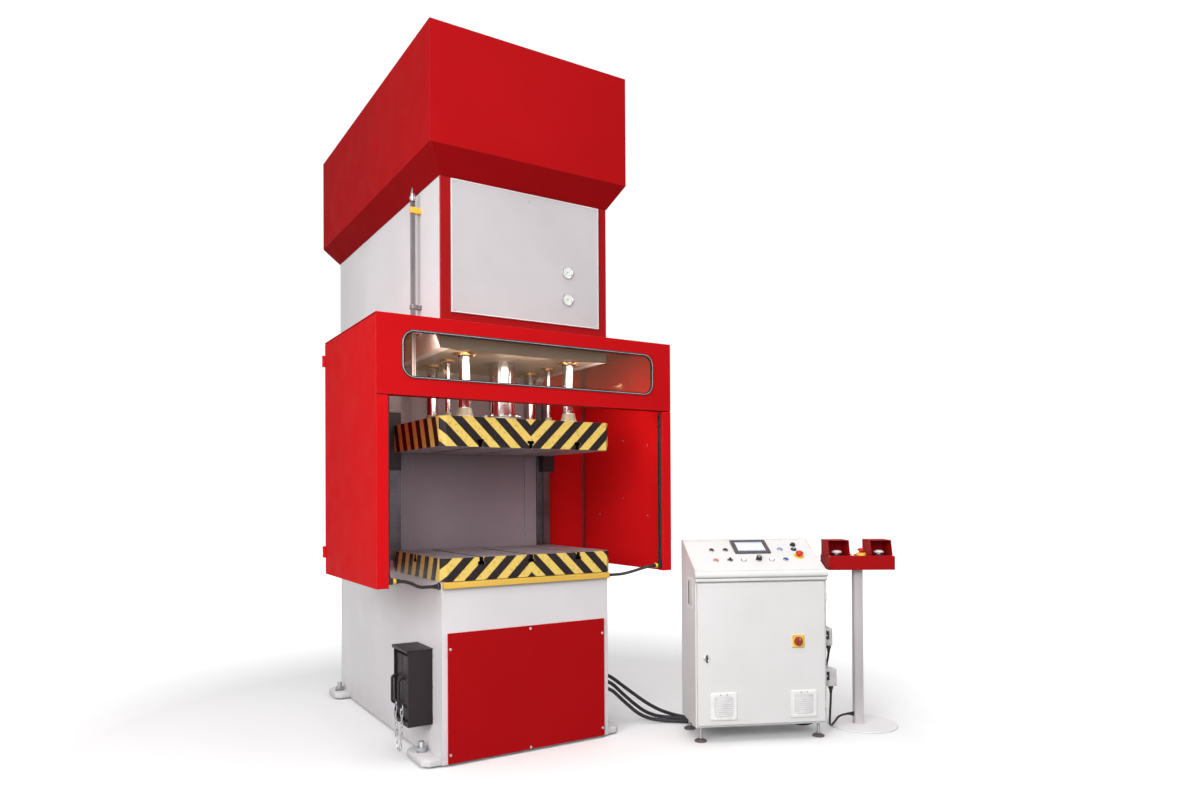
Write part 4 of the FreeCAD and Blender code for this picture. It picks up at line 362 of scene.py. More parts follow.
RAIL_STEEL = ground_steel("oiled_guide_rail_steel", "#6E676B", "#4E484C", 0.42, (4, 420, 420), "#8D888A")
CHROME = ground_steel("hard_chrome_plate", "#CFCDD0", "#A9A7AB", 0.17, (3, 3, 900))
CHAIN_ZINC = ground_steel("bright_chain_zinc", "#DCDCDE", "#A9A9AC", 0.3, (60, 60, 60), "#FFFFFF")
ZINC = ground_steel("bright_zinc_plate", "#D0D1D2", "#A3A4A6", 0.3, (60, 60, 60))
STAINLESS = ground_steel("brushed_stainless", "#D6D6D7", "#B2B2B4", 0.26, (260, 260, 8))
BRONZE = ground_steel("bearing_bronze", "#C08A4A", "#936231", 0.35, (40, 40, 400))
ANODISED = ground_steel("anodised_aluminium_profile", "#8C8589", "#716A6E", 0.38, (300, 300, 6), "#D9D2D5")
RUBBER = moulded("black_rubber", "#242124", "#161416", 0.62)
# Painted shade for the strips on the guard doors' rear folds.
SHADE_STRIP_RED = moulded("dark_red_painted_shade", "#86070A", "#6E0508", 0.7)
PAD_RUBBER = moulded("grey_brown_rubber", "#6B6165", "#544B4F", 0.6)
CABLE = moulded("pvc_cable_sheath", "#343035", "#1F1C20", 0.46, 1.2)
BLACK_PLASTIC = moulded("black_polyamide", "#2C2A2E", "#1A191B", 0.42)
GREY_PLASTIC = moulded("die_cast_connector_grey", "#CFCBCC", "#B9B5B7", 0.44)
LOUVRE_PLASTIC = moulded("abs_louvre_grey", "#E2E0E1", "#D6D4D5", 0.5)
DISPLAY_FRAME = moulded("abs_display_frame", "#5C5357", "#4B4347", 0.45)
SWITCH_RED = moulded("switch_handle_red", "#A8392A", "#8E2C20", 0.34, 1.6, 0.0001, "#E58F80", 0.2)
# Painted highlight: the red push's cap is made paler all over to stand for the light on its top.
RED_CAP_PAINTED_HIGHLIGHT = moulded("red_cap_painted_highlight", "#DF6F68", "#D0605A", 0.32, 1.6, 0.0001, "#FFC9C4", 0.2)
VENT_PLASTIC = moulded("abs_vent_frame_white", "#EDECEB", "#E3E2E1", 0.45)
YELLOW_PLASTIC = moulded("yellow_polyamide", "#F0C53A", "#DDAF2A", 0.38)
RED_PLASTIC = moulded("red_polycarbonate", "#D5231D", "#B51813", 0.28, 1.6, 0.0001, "#FF9A90", 0.2)
WHITE_PLASTIC = moulded("white_polycarbonate", "#ECEBE8", "#DCDBD7", 0.3, 1.6, 0.0001)
BLUE_PLASTIC = moulded("blue_polycarbonate", "#2B55A8", "#1E4290", 0.28, 1.6, 0.0001, "#8FB0F0", 0.2)
DIAL = moulded("printed_dial_enamel", "#EFEDEA", "#E5E3E0", 0.4, 1, 0.00003)
# Dial print, dark screws and marks, and also the painted shade in the desk handle's recess.
INK_AND_SHADE = moulded("dial_ink_and_painted_shade", "#26242A", "#1B191E", 0.6, 1, 0.00003)
LENS_DARK = lit_lens("smoked_lens", "#3B3A42", "#1E1D22", 0)
LENS_WHITE = lit_lens("white_lens", "#F4F4F0", "#D5D6D2", 0.1)
LENS_WARM = lit_lens("warm_lamp_lens", "#FFD890", "#FFC060", 2.2)
LENS_BLUE = lit_lens("pale_blue_lens", "#8FA6C8", "#5E77A0", 0.05)
CURTAIN_LENS = moulded("infrared_window_acrylic", "#3A1216", "#240A0D", 0.12, 2, 0.00002)
SCREEN = lit_lens("display_glass_lit", "#D3D9E3", "#C3CAD8", 0.25)
SCREEN_BAR = lit_lens("display_bar_lit", "#A9B7CC", "#98A8C0", 0.2)
TABLE_HAZARD = hazard_paint("hazard_bands_table", 1, 0.944, 0.0545)
RAM_HAZARD = hazard_paint("hazard_bands_ram", -1, 1.6098, 0.0723)
SMOKED = clear_sheet("smoked_acrylic", "#7A674E", 0.17)
GLASS = clear_sheet("gauge_glass", "#F2F4F4", 0.16, 20)

NODE_FINISH = (
    (FRAME_PAINT, "frame_side_left frame_side_right frame_base"), (HEAD_PAINT, "frame_head"),
    (TABLE_HAZARD, "bolster_table"), (RAM_HAZARD, "ram_plate"), (CYLINDER_PAINT, "main_cylinder"),
    (BRONZE, "guide_bushes"), (RAIL_STEEL, "guide_rails"), (YELLOW_PAINT, "table_edge_strip"),
    (RED_COVER, "lower_front_panel top_cover"), (PANEL_PAINT, "head_front_panel"),
    (STAINLESS, "pressure_gauges"), (ZINC, "levelling_screws panel_screws prop_chains door_lock"),
    (TANK_PAINT, "oil_tank pump_motor"), (GROUND, "valve_block"), (RED_GUARD, "guard_hood guard_hinges"),
    (RUBBER, "window_gasket"), (SMOKED, "window_pane"), (ANODISED, "position_sensor"),
    (BLACK_PAINT, "prop_holder safety_props guide_shoes light_curtain_left light_curtain_right"),
    (YELLOW_PLASTIC, "sensor_clamps"), (DESK_PAINT, "console_cabinet console_door"),
    (PAD_RUBBER, "console_feet"), (GREY_PLASTIC, "console_plugs"), (STAND_PAINT, "control_stand"),
    (RED_TRAY, "button_tray"), (CHROME, "piston_rod guide_columns"),
    (RED_GUARD_PAINTED_LIGHTER, "guard_door_left guard_door_right"), (BLUE_PLASTIC, "push_button_blue"),
    (RED_PLASTIC, "main_switch_knob push_button_red emergency_stop_desk emergency_stop_stand"),
    (WHITE_PLASTIC, "push_button_white palm_button_left palm_button_right"),
    (BLACK_PLASTIC, "operator_display selector_switch speed_knob"),
    (CABLE, "floor_cable_1 floor_cable_2 floor_cable_3 curtain_cable_left curtain_cable_right"),
    (CABLE, "stand_cable plug_cable"),
)
for finish, names in NODE_FINISH:
    for name in names.split():
        for place_slot in NODES[name].material_slots:
            place_slot.material = finish


# ---------------------------------------------------------------- places, in millimetres
TO_FRONT, TO_REAR = turn(90, "X"), turn(-90, "X")      # a form's Z points out of the front, or to the rear
TO_LEFT, TO_RIGHT = turn(-90, "Y"), turn(90, "Y")
OUTWARDS = {-1: TO_LEFT, 1: TO_RIGHT}                   # by side: -1 left, 1 right
UPSIDE_DOWN = turn(180, "X")
DESK = at(780, -683, 0, turn(-24.6))                    # corner of the desk's front
STAND = at(1796, -897, 0, turn(-32))                    # middle of the stand's foot
SLOPE = math.degrees(math.atan2(154, 296))
SLOPE_LOW = 890                                         # height of the slope's front edge
FRONT = -324                                            # face of the front panels
SIDE = 470                                              # outer faces of the side plates
RAM_TOP = 1683
HEAD_UNDER = 1998                                       # underside of the head's bed, where the bushes sit
PANEL_LOW, PANEL_TOP = 2184, 2830                       # the head's front panel
WINDOW_MIDDLE = 1946
HINGE_X, HINGE_Y = 822, 489                             # axes of the guard doors
CURTAIN_X, CURTAIN_Y = 751, -401                        # light curtains
CURTAIN_ENTRY = (-288, 864)                             # depth and height of their leads' glands
SENSOR_X, SENSOR_Y = -511, -44
TRAY_TOP = 952


def mirror(side):
    """Turns a form that is drawn for the right side to the side it is on."""
    return Matrix.Diagonal((side, 1, 1, 1))


def on_slope(a, s):
    """A place on the desk's sloped top: a along it, s up it, Z off it."""
    return DESK @ at(0, 0, SLOPE_LOW, turn(SLOPE, "X")) @ at(a, s, 0)


# ---------------------------------------------------------------- forms, in millimetres
def soften(form, radius, segments=2):
    """Rounds every sharp edge of a form."""
    bmesh.ops.remove_doubles(form, verts=form.verts, dist=0.001)
    bmesh.ops.recalc_face_normals(form, faces=form.faces)
    sharp = [e for e in form.edges if len(e.link_faces) == 2 and e.calc_face_angle(0) > 0.6]
    bmesh.ops.bevel(form, geom=sharp, offset=radius, segments=segments, profile=0.5, affect="EDGES",
        material=-1, clamp_overlap=True)
    return form


def cuboid(middle, size):
    """A sharp box about a middle."""
    form = bmesh.new()
    bmesh.ops.create_cube(form, size=1, matrix=Matrix.Translation(middle) @ Matrix.Diagonal((*size, 1)))
    return form


def block(low, high, radius=0.8):
    """A box with rounded edges between two corners."""
    size = [b - a for a, b in zip(low, high)]
    middle = [(a + b) / 2 for a, b in zip(low, high)]
    return soften(cuboid(middle, size), radius)


def turned(profile, steps=32, closed=False):
    """A lathe form about Z from (radius, height) pairs; closed joins its ends, for a ring."""
    form = bmesh.new()
    points = [form.verts.new((across, 0, height)) for across, height in profile]
    pairs = list(zip(points, points[1:])) + ([(points[-1], points[0])] if closed else [])
    edges = [form.edges.new(pair) for pair in pairs]
    bmesh.ops.spin(form, geom=points + edges, cent=(0, 0, 0), axis=(0, 0, 1),
        angle=2 * math.pi, steps=steps, use_merge=True)
    return form


def draw(form, faces, height):
    """Draws flat faces along Z, with walls behind them."""
    grown = bmesh.ops.extrude_face_region(form, geom=faces)["geom"]
    bmesh.ops.translate(form, vec=(0, 0, height), verts=[g for g in grown if isinstance(g,
        bmesh.types.BMVert)])


def pushed(form, faces, height, radius):
    """Pushes flat faces up to a height and rounds the edges."""
    draw(form, faces, height)
    return soften(form, radius) if radius else form


def plate(outline, height, radius=0.6):
    """A flat piece cut to an outline and pushed up."""
    form = bmesh.new()
    face = form.faces.new([form.verts.new((x, y, 0)) for x, y in outline])
    return pushed(form, [face], height, radius)


def rim(outer, inner, height, radius=0.6):
    """A flat ring between two outlines, pushed up."""
    form = bmesh.new()
    loops = []
    for outline in (outer, inner):
        points = [form.verts.new((x, y, 0)) for x, y in outline]
        loops += [form.edges.new(pair) for pair in zip(points, points[1:] + points[:1])]
    return pushed(form, bmesh.ops.bridge_loops(form, edges=loops)["faces"], height, radius)


def rounded(width, height, corner, steps=6):
    """The outline of a rounded rectangle about the origin."""
    outline = []
    for k, (x, y) in enumerate(((1, 1), (-1, 1), (-1, -1), (1, -1))):
        for step in range(steps + 1):
            angle = math.pi / 2 * (k + step / steps)
            outline.append((x * (width / 2 - corner) + corner * math.cos(angle),
                y * (height / 2 - corner) + corner * math.sin(angle)))
    return outline


def ring_outline(radius, sides, turn=0):
    """Points spaced evenly round the origin."""
    return [(radius * math.cos(turn + 2 * math.pi * k / sides),
        radius * math.sin(turn + 2 * math.pi * k / sides)) for k in range(sides)]


def smooth_line(name, points, radius, sides, steps, closed=False):
    """One smooth curve with a round section, bent where its control points turn."""
    curve = bpy.data.curves.new(name, "CURVE")
    curve.dimensions = "3D"
    curve.bevel_depth, curve.bevel_resolution, curve.resolution_u = radius, sides, steps
    curve.use_fill_caps = True
    spline = curve.splines.new("NURBS")
    spline.points.add(len(points) - 1)
    for point, place in zip(spline.points, points):
        point.co = (*place, 1)
    spline.order_u = 3
    spline.use_endpoint_u = not closed
    spline.use_cyclic_u = closed
    return curve


def bar(points, radius, closed=False):
    """A round bar as a form."""
    holder = bpy.data.objects.new("bar", smooth_line("bar", points, radius, 4, 8, closed))
    mesh = bpy.data.meshes.new_from_object(holder)
    form = bmesh.new()
    form.from_mesh(mesh)
    bpy.data.objects.remove(holder)
    bpy.data.meshes.remove(mesh)
    return form


def threaded(radius, low, high, pitch=2.5, steps=20):
    """A screw thread drawn as turned grooves, coarser than the real one so that it shows."""
    profile = [(0, low), (radius - 1, low)]
    z = low
    while z < high - pitch:
        profile += [(radius, z + pitch * 0.5), (radius - 1, z + pitch)]
        z += pitch
    return turned(profile + [(radius - 1.6, high), (0, high)], steps)


# ---------------------------------------------------------------- pieces
def lay(piece, form, place=Matrix(), material=0):
    """Welds a form, puts it in its place with its faces outwards and adds it to a piece's mesh."""
    bmesh.ops.remove_doubles(form, verts=form.verts, dist=0.001)
    bmesh.ops.transform(form, matrix=place @ MM, verts=form.verts)
    bmesh.ops.recalc_face_normals(form, faces=form.faces)
    for face in form.faces:
        face.material_index = material
        face.smooth = True
    mesh = bpy.data.meshes.new("form")
    form.to_mesh(mesh)
    form.free()
    piece.from_mesh(mesh)
    bpy.data.meshes.remove(mesh)


def lathe(piece, profile, steps, place=Matrix(), material=0):
    """Adds a turned form to a piece's mesh."""
    lay(piece, turned(profile, steps), place, material)


def hoop(piece, profile, steps, place=Matrix(), material=0):
    """Adds a turned ring to a piece's mesh."""
    lay(piece, turned(profile, steps, True), place, material)


def as_piece(name, materials, body, slot, *replaced, crease=35):
    """Builds a piece at once from the function under it, gives it its finishes and says what it rides on and
    stands for."""
    def build(shape):
        piece = bmesh.new()
        shape(piece)
        mesh = bpy.data.meshes.new(name)
        piece.to_mesh(mesh)
        piece.free()
        for material in materials:
            mesh.materials.append(material)
        mesh.set_sharp_from_angle(angle=math.radians(crease))
        made = linked(name, mesh)
        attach(made, body)
        if replaced:
            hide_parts(*replaced)
    return build


def cap_screw(radius, height, steps=20):
    """A cylinder or button head with its socket, standing on Z = 0."""
    socket = radius * 0.48
    return turned([(0, height * 0.4), (socket, height * 0.4), (socket, height), (radius * 0.86, height),
        (radius, height * 0.72), (radius, 0), (0, 0)], steps)


def hexagon_nut(across, height, bore):
    """A nut with its chamfered corners."""
    outer = ring_outline(across / math.sqrt(3), 6)
    form = rim(outer, ring_outline(bore, 6), height, 0)
    return soften(form, min(across, height) * 0.06)


def relief(bore, length, wall=4):
    """A tapered rubber sleeve with grooves round it, where a cable leaves its housing."""
    profile = [(bore - 0.8, 0), (bore + wall, 0)]
    rings = 6
    for k in range(rings):
        z = length * (k + 0.4) / rings
        thick = bore + wall * (1 - k / rings)
        profile += [(thick, z), (thick - 1.2, z + 0.6), (thick - 1.2, z + 2), (thick - 0.3, z + 2.6)]
    profile += [(bore + 0.5, length), (bore - 0.8, length)]
    return turned(profile, 24, closed=True)


# ---------------------------------------------------------------- cords
def route(places, base=Matrix()):
    """Points in millimetres, seen from a base, as points in metres."""
    return [base @ (Vector(place) / 1000) for place in places]


def cord(name, points, radius):
    """A round cable on one smooth curve through its route."""
    piece = linked(name + "_sheath", smooth_line(name, points, radius, 6, 10))
    piece.data.materials.append(CABLE)
    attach(piece, "press")
    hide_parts(name)


FLOOR_ROUTES = (([(482, -84, 300), (585, -84, 300), (735, -120, 176), (870, -181, 67), (1000, -245, 14),
    (1095, -365, 12), (1150, -515, 12)], 320, 1.152), ([(482, -112, 268), (585, -112, 268),
    (715, -134, 136), (835, -180, 32), (960, -245, 13), (1050, -350, 12), (1086, -486, 12)], 250, 1.074),
    ([(482, -140, 225), (580, -140, 225), (672, -158, 132), (776, -200, 32), (885, -275, 12),
    (985, -345, 12), (1023, -457, 12)], 180, 0.952),)
for number, (places, entry, real_length) in enumerate(FLOOR_ROUTES, 1):
    cord(f"floor_cable_{number}", route(places) + route([(entry, 250, 90), (entry, 250, 200)], DESK),
        0.01)
for side, name in ((-1, "curtain_cable_left"), (1, "curtain_cable_right")):
    cord(name, route([(side * x, y, z) for x, y, z in ((482, -288, 864), (532, -288, 864),
        (581.5, -312, 868), (640.7, -376.8, 896), (687.7, -401, 912), (739.7, -401, 912))]), 0.008)
cord("stand_cable", route([(758, 62, 245), (758, 62, 192), (762, 82, 118), (774, 116, 54), (796, 162, 20),
    (836, 208, 18)], DESK) + route([(-123, 0, 60), (-59, 0, 60)], STAND), 0.006)
cord("plug_cable", route([(747, 62, 463), (747, 62, 425), (747, 96, 370), (748, 107, 244), (750, 134, 136),
    (714, 176, 30), (620, 222, 14), (570, 246, 66), (560, 250, 136), (560, 250, 200)], DESK), 0.006)


# ---------------------------------------------------------------- ram: rod, columns, bushes, shoes
@as_piece("main_piston_rod", [CHROME, GROUND, ZINC], "ram", "chromed", "piston_rod")
def main_rod(piece):
    """Hard-chromed piston rod with its flange, twelve screws in it, and the piston in the cylinder above."""
    lathe(piece, [(0, 1718), (70, 1718), (70, 2650), (0, 2650)], 96)
    lathe(piece, [(0, RAM_TOP), (108.5, RAM_TOP), (110, 1684.5), (110, 1714), (106, 1718), (82, 1718),
        (74, 1724), (70.2, 1724), (0, 1724)], 96, material=1)
    for x, y in ring_outline(94, 12):
        lay(piece, cap_screw(8, 9), at(x, y, 1718), 2)
    lathe(piece, [(0, 2650), (109, 2650), (109, 2664), (106, 2666), (106, 2674), (109, 2676), (109, 2704),
        (106, 2706), (106, 2714), (109, 2716), (109, 2730), (0, 2730)], 64, material=1)


COLUMNS = [(x, y) for y in (-200, 250) for x in (-300, 300)]
THIN_RODS = [(x, 25) for x in (-300, 300)]


@as_piece("guide_columns_round", [CHROME, FOOT_PAINT, ZINC], "ram", "chromed", "guide_columns")
def columns(piece):
    """Four guide columns and two thin rods, each in a flanged foot that narrows up to it."""
    for x, y in COLUMNS:
        lathe(piece, [(0, 1735), (30, 1735), (30, 2634), (26, 2640), (0, 2640)], 48, at(x, y, 0))
        lathe(piece, [(0, RAM_TOP), (47, RAM_TOP), (48, 1684), (48, 1693), (46, 1695), (44, 1696),
            (37, 1716), (34, 1733), (32.5, 1737), (30.1, 1737), (0, 1730)], 48, at(x, y, 0), 1)
        for across, deep in ring_outline(41.5, 6, math.pi / 6):
            lay(piece, cap_screw(3.6, 4.5, 16), at(x + across, y + deep, 1694), 2)
    for x, y in THIN_RODS:
        lathe(piece, [(0, 1735), (14, 1735), (14, 2636), (11, 2640), (0, 2640)], 32, at(x, y, 0))
        lathe(piece, [(0, RAM_TOP), (27, RAM_TOP), (28, 1684), (28, 1694), (26, 1695.5), (20, 1716),
            (17, 1733), (15.5, 1737), (14.1, 1737), (0, 1730)], 32, at(x, y, 0), 1)


@as_piece("guide_bushes_lipped", [BRONZE, RUBBER, ZINC], "press", "bronze", "guide_bushes")
def bushes(piece):
    """Bronze bushes with a black wiper ring in each and their keeper screws."""
    for places, bore in ((COLUMNS, 30), (THIN_RODS, 14)):
        for x, y in places:
            wall = bore + 14
            hoop(piece, [(bore + 0.4, 1999), (wall + 11, HEAD_UNDER), (wall + 12, 1999),
                (wall + 12, 2009.6), (wall - 0.4, 2009.6), (wall - 0.4, 2098), (bore + 0.4, 2098)],
                48, at(x, y, 0))
            hoop(piece, [(bore + 0.2, 1995.5), (bore + 4, 1995), (bore + 6, 1998.4), (bore + 0.2, 1998.4)],
                40, at(x, y, 0), 1)
            for across, deep in ring_outline(wall + 6, 4, math.pi / 4):
                lay(piece, cap_screw(3.4, 3, 16), at(x + across, y + deep, 1998.4, UPSIDE_DOWN), 2)


@as_piece("guide_shoe_screws", [ZINC], "ram", "zinc")
def shoe_screws(piece):
    """Socket screws that hold the guide shoes' cheeks, on their outer sides."""
    for side in (-1, 1):
        for z in (1470, 1545, 1650, 1725):
            lay(piece, cap_screw(6.5, 3), at(side * 516.3, 392, z, OUTWARDS[side]))


# ---------------------------------------------------------------- frame: screws, feet, gauges, glands
@as_piece("front_panel_screws", [ZINC], "press", "zinc", "panel_screws")
def front_screws(piece):
    """Button-head screws of the two front panels on thin washers."""
    places = [(side * 430, z) for side in (-1, 1) for z in (56, 562)] + [(0, 24), (0, 624), (0, 2794)]
    for x, z in places + [(side * 404, z) for side in (-1, 1) for z in (2198, 2820)]:
        place = at(x, FRONT, z, TO_FRONT)
        lathe(piece, [(0, 0), (6.6, 0), (6.6, 0.7), (0, 0.7)], 28, place)
        lathe(piece, [(0, 1.3), (2, 1.3), (2.2, 2.9), (3.6, 2.7), (4.9, 1.9), (5.3, 0.6), (0, 0.6)],
            28, place)


@as_piece("levelling_screws_threaded", [ZINC], "press", "zinc", "levelling_screws")
def levelling_feet(piece):
    """Threaded levelling screws with nut and washer on turned floor pads."""
    for x in (-509, 509):
        for y in (-140, 1385):
            lathe(piece, [(0, 0), (30.5, 0), (32, 1.5), (32, 7), (29, 9.6), (16, 9.9), (0, 9.9)],
                40, at(x, y, 0))
            lay(piece, threaded(14.8, 9.5, 91.5, 3, 24), at(x, y, 0))
            hoop(piece, [(15, 40.1), (28, 40.1), (28, 42.8), (15, 42.8)], 36, at(x, y, 0))
            lay(piece, hexagon_nut(46, 20.5, 14), at(x, y, 43))


@as_piece("foot_plates", [FRAME_PAINT], "press", "press_grey")
def foot_plates(piece):
    """Cut plates welded over the frame's feet, with crisp edges and cut corners, under the levelling nuts."""
    for side in (-1, 1):
        for front, rear in ((-302, -36), (1281, 1489)):
            outline = [(470.2, front), (528, front), (559, front + 31), (559, rear - 31), (528, rear),
                (470.2, rear)]
            lay(piece, plate(outline, 30.8, 1.2), at(0, 0, 9.6, mirror(side)))


@as_piece("pressure_gauges_dialled", [STAINLESS, DIAL, INK_AND_SHADE, RED_PLASTIC, GLASS],
          "press", "plastic_white", "pressure_gauges")
def gauges(piece):
    """Two pressure gauges: stainless bezel, dial with its scale, red limit mark, pointer and glass."""
    for pointer, z in ((222, 2461), (198, 2320)):
        face = at(225, FRONT, z, TO_FRONT)
        hoop(piece, [(27.5, -30), (31, -30), (31, 0.4), (34, 0.4), (34, 4.5), (32.5, 7.4), (30, 8),
            (28.2, 7), (27.5, 5)], 64, face)
        lathe(piece, [(0, 2.2), (27.8, 2.2), (27.8, 3), (0, 3)], 48, face, 1)
        marks = [(225 - 9 * k, 5 if k % 5 == 0 else 2.8, 0.28, 24.6, 2) for k in range(31)]
        marks += [(-18 - 3 * k, 1.6, 0.7, 26.8, 3) for k in range(9)]
        for angle, long, half, reach, finish in marks:
            mark = block((-long / 2, -half, 3), (long / 2, half, 3.15), 0)
            lay(piece, mark, face @ turn(angle) @ at(reach - long / 2, 0, 0), finish)
        needle = plate([(-6, -0.9), (20.5, -0.25), (20.5, 0.25), (-6, 0.9)], 0.5, 0)
        lay(piece, needle, face @ at(0, 0, 4.2, turn(pointer)), 2)
        lathe(piece, [(0, 3), (2.6, 3), (2.6, 4.9), (1.6, 5.4), (0, 5.4)], 20, face, 2)
        lathe(piece, [(0, 6), (28.3, 6), (28.3, 6.6), (0, 6.6)], 48, face, 4)
        lathe(piece, [(0, -56), (7, -56), (7, -30), (30, -30), (0, -30)], 24, face)


@as_piece("head_panel_edge_painted_highlight", [DISC_AND_HIGHLIGHT_PAINT], "press", "panel_white")
def panel_highlight_rim(piece):
    """Folded edge of the head's front panel in a brighter paint than the panel, a painted highlight where the
    fold catches the light.
    """
    tall = PANEL_TOP - PANEL_LOW
    # Painted highlight: the rim takes the bright disc paint instead of the panel's grey.
    lay(piece, rim(rounded(835.6, tall - 0.4, 1.2, 2), rounded(825, tall - 11, 1.2, 2), 0.8, 0.3),
        at(0, FRONT, (PANEL_LOW + PANEL_TOP) / 2, TO_FRONT))


@as_piece("frame_cable_glands", [BLACK_PLASTIC, RUBBER], "press", "plastic_black")
def frame_glands(piece):
    """Cable glands on the side plates with their tapered rubber sleeves."""
    glands = [(1, y, z, 14, (10.2, 40, 4.2)) for y, z in ((-84, 300), (-112, 268), (-140, 225))]
    for side, y, z, neck, sleeve in glands + [(side, *CURTAIN_ENTRY, 13, (8.2, 26, 4)) for side in (-1, 1)]:
        place = at(side * SIDE, y, z, OUTWARDS[side])
        lay(piece, plate(ring_outline(18.5, 6), 5, 0.8), place)
        lathe(piece, [(0, 5), (16.6, 5), (16.6, 10), (neck, 12.4), (0, 12.4)], 28, place)
        lay(piece, relief(*sleeve), place @ at(0, 0, 12), 1)


for side, name in ((-1, "curtain_plug_left"), (1, "curtain_plug_right")):
    @as_piece(name, [BLACK_PLASTIC, YELLOW_PLASTIC], "press", "plastic_black")
    def curtain_plug(piece):
        """Round plug of a light curtain's lead, with its yellow coupling ring."""
        place = at(side * 704, CURTAIN_Y, 912, OUTWARDS[side])
        hoop(piece, [(7.6, 0), (9.4, 0), (10.2, 3), (10.8, 14), (11.6, 15), (11.6, 19), (7.6, 19)], 28, place)
        hoop(piece, [(8.2, 19.2), (12.4, 19.2), (13, 20.5), (13, 32), (12.4, 33.2), (8.2, 33.2)],
            28, place, 1)
        for k in range(14):
            lay(piece, block((12.4, -0.8, 21), (13.5, 0.8, 32), 0.3), place @ turn(360 * k / 14), 1)


# ---------------------------------------------------------------- guard: window seal, hinges, light curtains
@as_piece("window_seal", [RUBBER, STAINLESS], "press", "rubber", "window_gasket")
def window_seal(piece):
    """Rubber section round the guard's window with the bright filler strip pressed into its groove."""
    outer, inner = rounded(1400, 224, 62, 10), rounded(1376, 200, 50, 10)
    place = at(0, -425, WINDOW_MIDDLE, TO_FRONT)
    lay(piece, rim(outer, inner, 4.6, 1.6), place)
    lay(piece, rim(rounded(1390.6, 214.6, 57.3, 10), rounded(1385.4, 209.4, 54.7, 10), 5, 0.5), place, 1)
    lay(piece, rim(outer, inner, 4.4, 1.4), at(0, -420.6, WINDOW_MIDDLE, TO_REAR))
    lay(piece, rim(rounded(1379, 203, 51.5, 10), rounded(1375, 199, 49.5, 10), 8.6, 0.3),
        at(0, -416.6, WINDOW_MIDDLE, TO_FRONT))


@as_piece("guard_lamps", [ZINC, LENS_WARM], "press", "zinc")
def hood_lamps(piece):
    """Two small warm lamps inside the guard, in their bright rims."""
    for x, y, z in ((-640, 0, 2119.6), (280, -250, 2009.4)):
        place = at(x, y, z, UPSIDE_DOWN)
        hoop(piece, [(11, 0), (19, 0), (19, 3.2), (17, 5.4), (13, 6), (11, 5)], 32, place)
        lathe(piece, [(0, 0.4), (12, 0.4), (12, 4), (9, 5.6), (4, 6.4), (0, 6.6)], 28, place, 1)


@as_piece("guard_hinges_rolled", [RED_GUARD, ZINC], "press", "press_red", "guard_hinges")
def hinge_leaves(piece):
    """Rolled hinges painted with the guard: outer knuckles, pin and a leaf with two rivets."""
    for side in (-1, 1):
        for z in (1000, 2025):
            axis = at(side * HINGE_X, HINGE_Y, 0)
            for low, high in ((z - 30, z - 10.3), (z + 10.3, z + 30)):
                lathe(piece, [(0, low), (7, low), (8, low + 1), (8, high - 1), (7, high), (0, high)],
                    28, axis)
            lathe(piece, [(0, z - 31), (4, z - 31), (4, z + 31), (2.5, z + 32), (0, z + 32)], 20, axis, 1)
            lay(piece, block((768, 480.1, z - 30), (812, 484, z + 30)), mirror(side))
            for low, high in ((z - 30, z - 10.6), (z + 10.6, z + 30)):
                lay(piece, block((811, 480.1, low), (821, 484, high), 0.5), mirror(side))
            for lift in (-17, 17):
                lathe(piece, [(0, 0), (5.5, 0), (4.6, 1.6), (2.4, 2.7), (0, 2.9)],
                    24, at(side * 786, 484, z + lift, TO_REAR))


for side, body, node in ((-1, "door_left", "light_curtain_left"), (1, "door_right", "light_curtain_right")):
    @as_piece(node + "_bar", [BLACK_PAINT, CURTAIN_LENS, BLACK_PLASTIC], body, "black_paint", node)
    def light_curtain(piece):
        """Light curtain: slim black section with edge grooves and a dark red window, on its socket."""
        outline = [(1, -9), (4.5, -9), (5.2, -8), (7.4, -8), (8, -9), (11, -9), (11, 9), (8, 9), (7.4, 8),
            (5.2, 8), (4.5, 9), (1, 9), (1, 5.5), (2.2, 4.8), (2.2, -4.8), (1, -5.5)]
        place = at(side * CURTAIN_X, CURTAIN_Y, 903, mirror(side))
        lay(piece, plate(outline, 800, 0), place @ at(0, 0, 34))
        lay(piece, block((1.4, -4.6, 44), (2.6, 4.6, 824), 0.2), place, 1)
        for low, high, edge in (((0.6, -9.6, 832), (11, 9.6, 839), 0.8), ((-11, -16, -3), (11, 16, 26), 2),
                ((-1, -12, 24), (11, 12, 40), 1.4), ((0.6, -9.8, 70), (11, 9.8, 84), 0.5),
                ((0.6, -9.8, 770), (11, 9.8, 784), 0.5)):
            lay(piece, block(low, high, edge), place, 2)


DOORS = ((-1, "door_left"), (1, "door_right"))
for side, body in DOORS:
    @as_piece(body + "_rivets", [ZINC], body, "zinc")
    def door_rivets(piece):
        """Button heads on a door's inner face, where its stiffeners and brackets are fixed."""
        for y, z in ((-210, 1180), (-210, 1580), (40, 1280), (40, 1620), (300, 1180), (300, 1580),
                (-60, 1960), (250, 1960), (-330, 1000), (-330, 1690)):
            lathe(piece, [(0, 0), (5, 0), (4.3, 1.5), (2.4, 2.5), (0, 2.8)],
                20, at(side * 813, y, z, OUTWARDS[-side]))

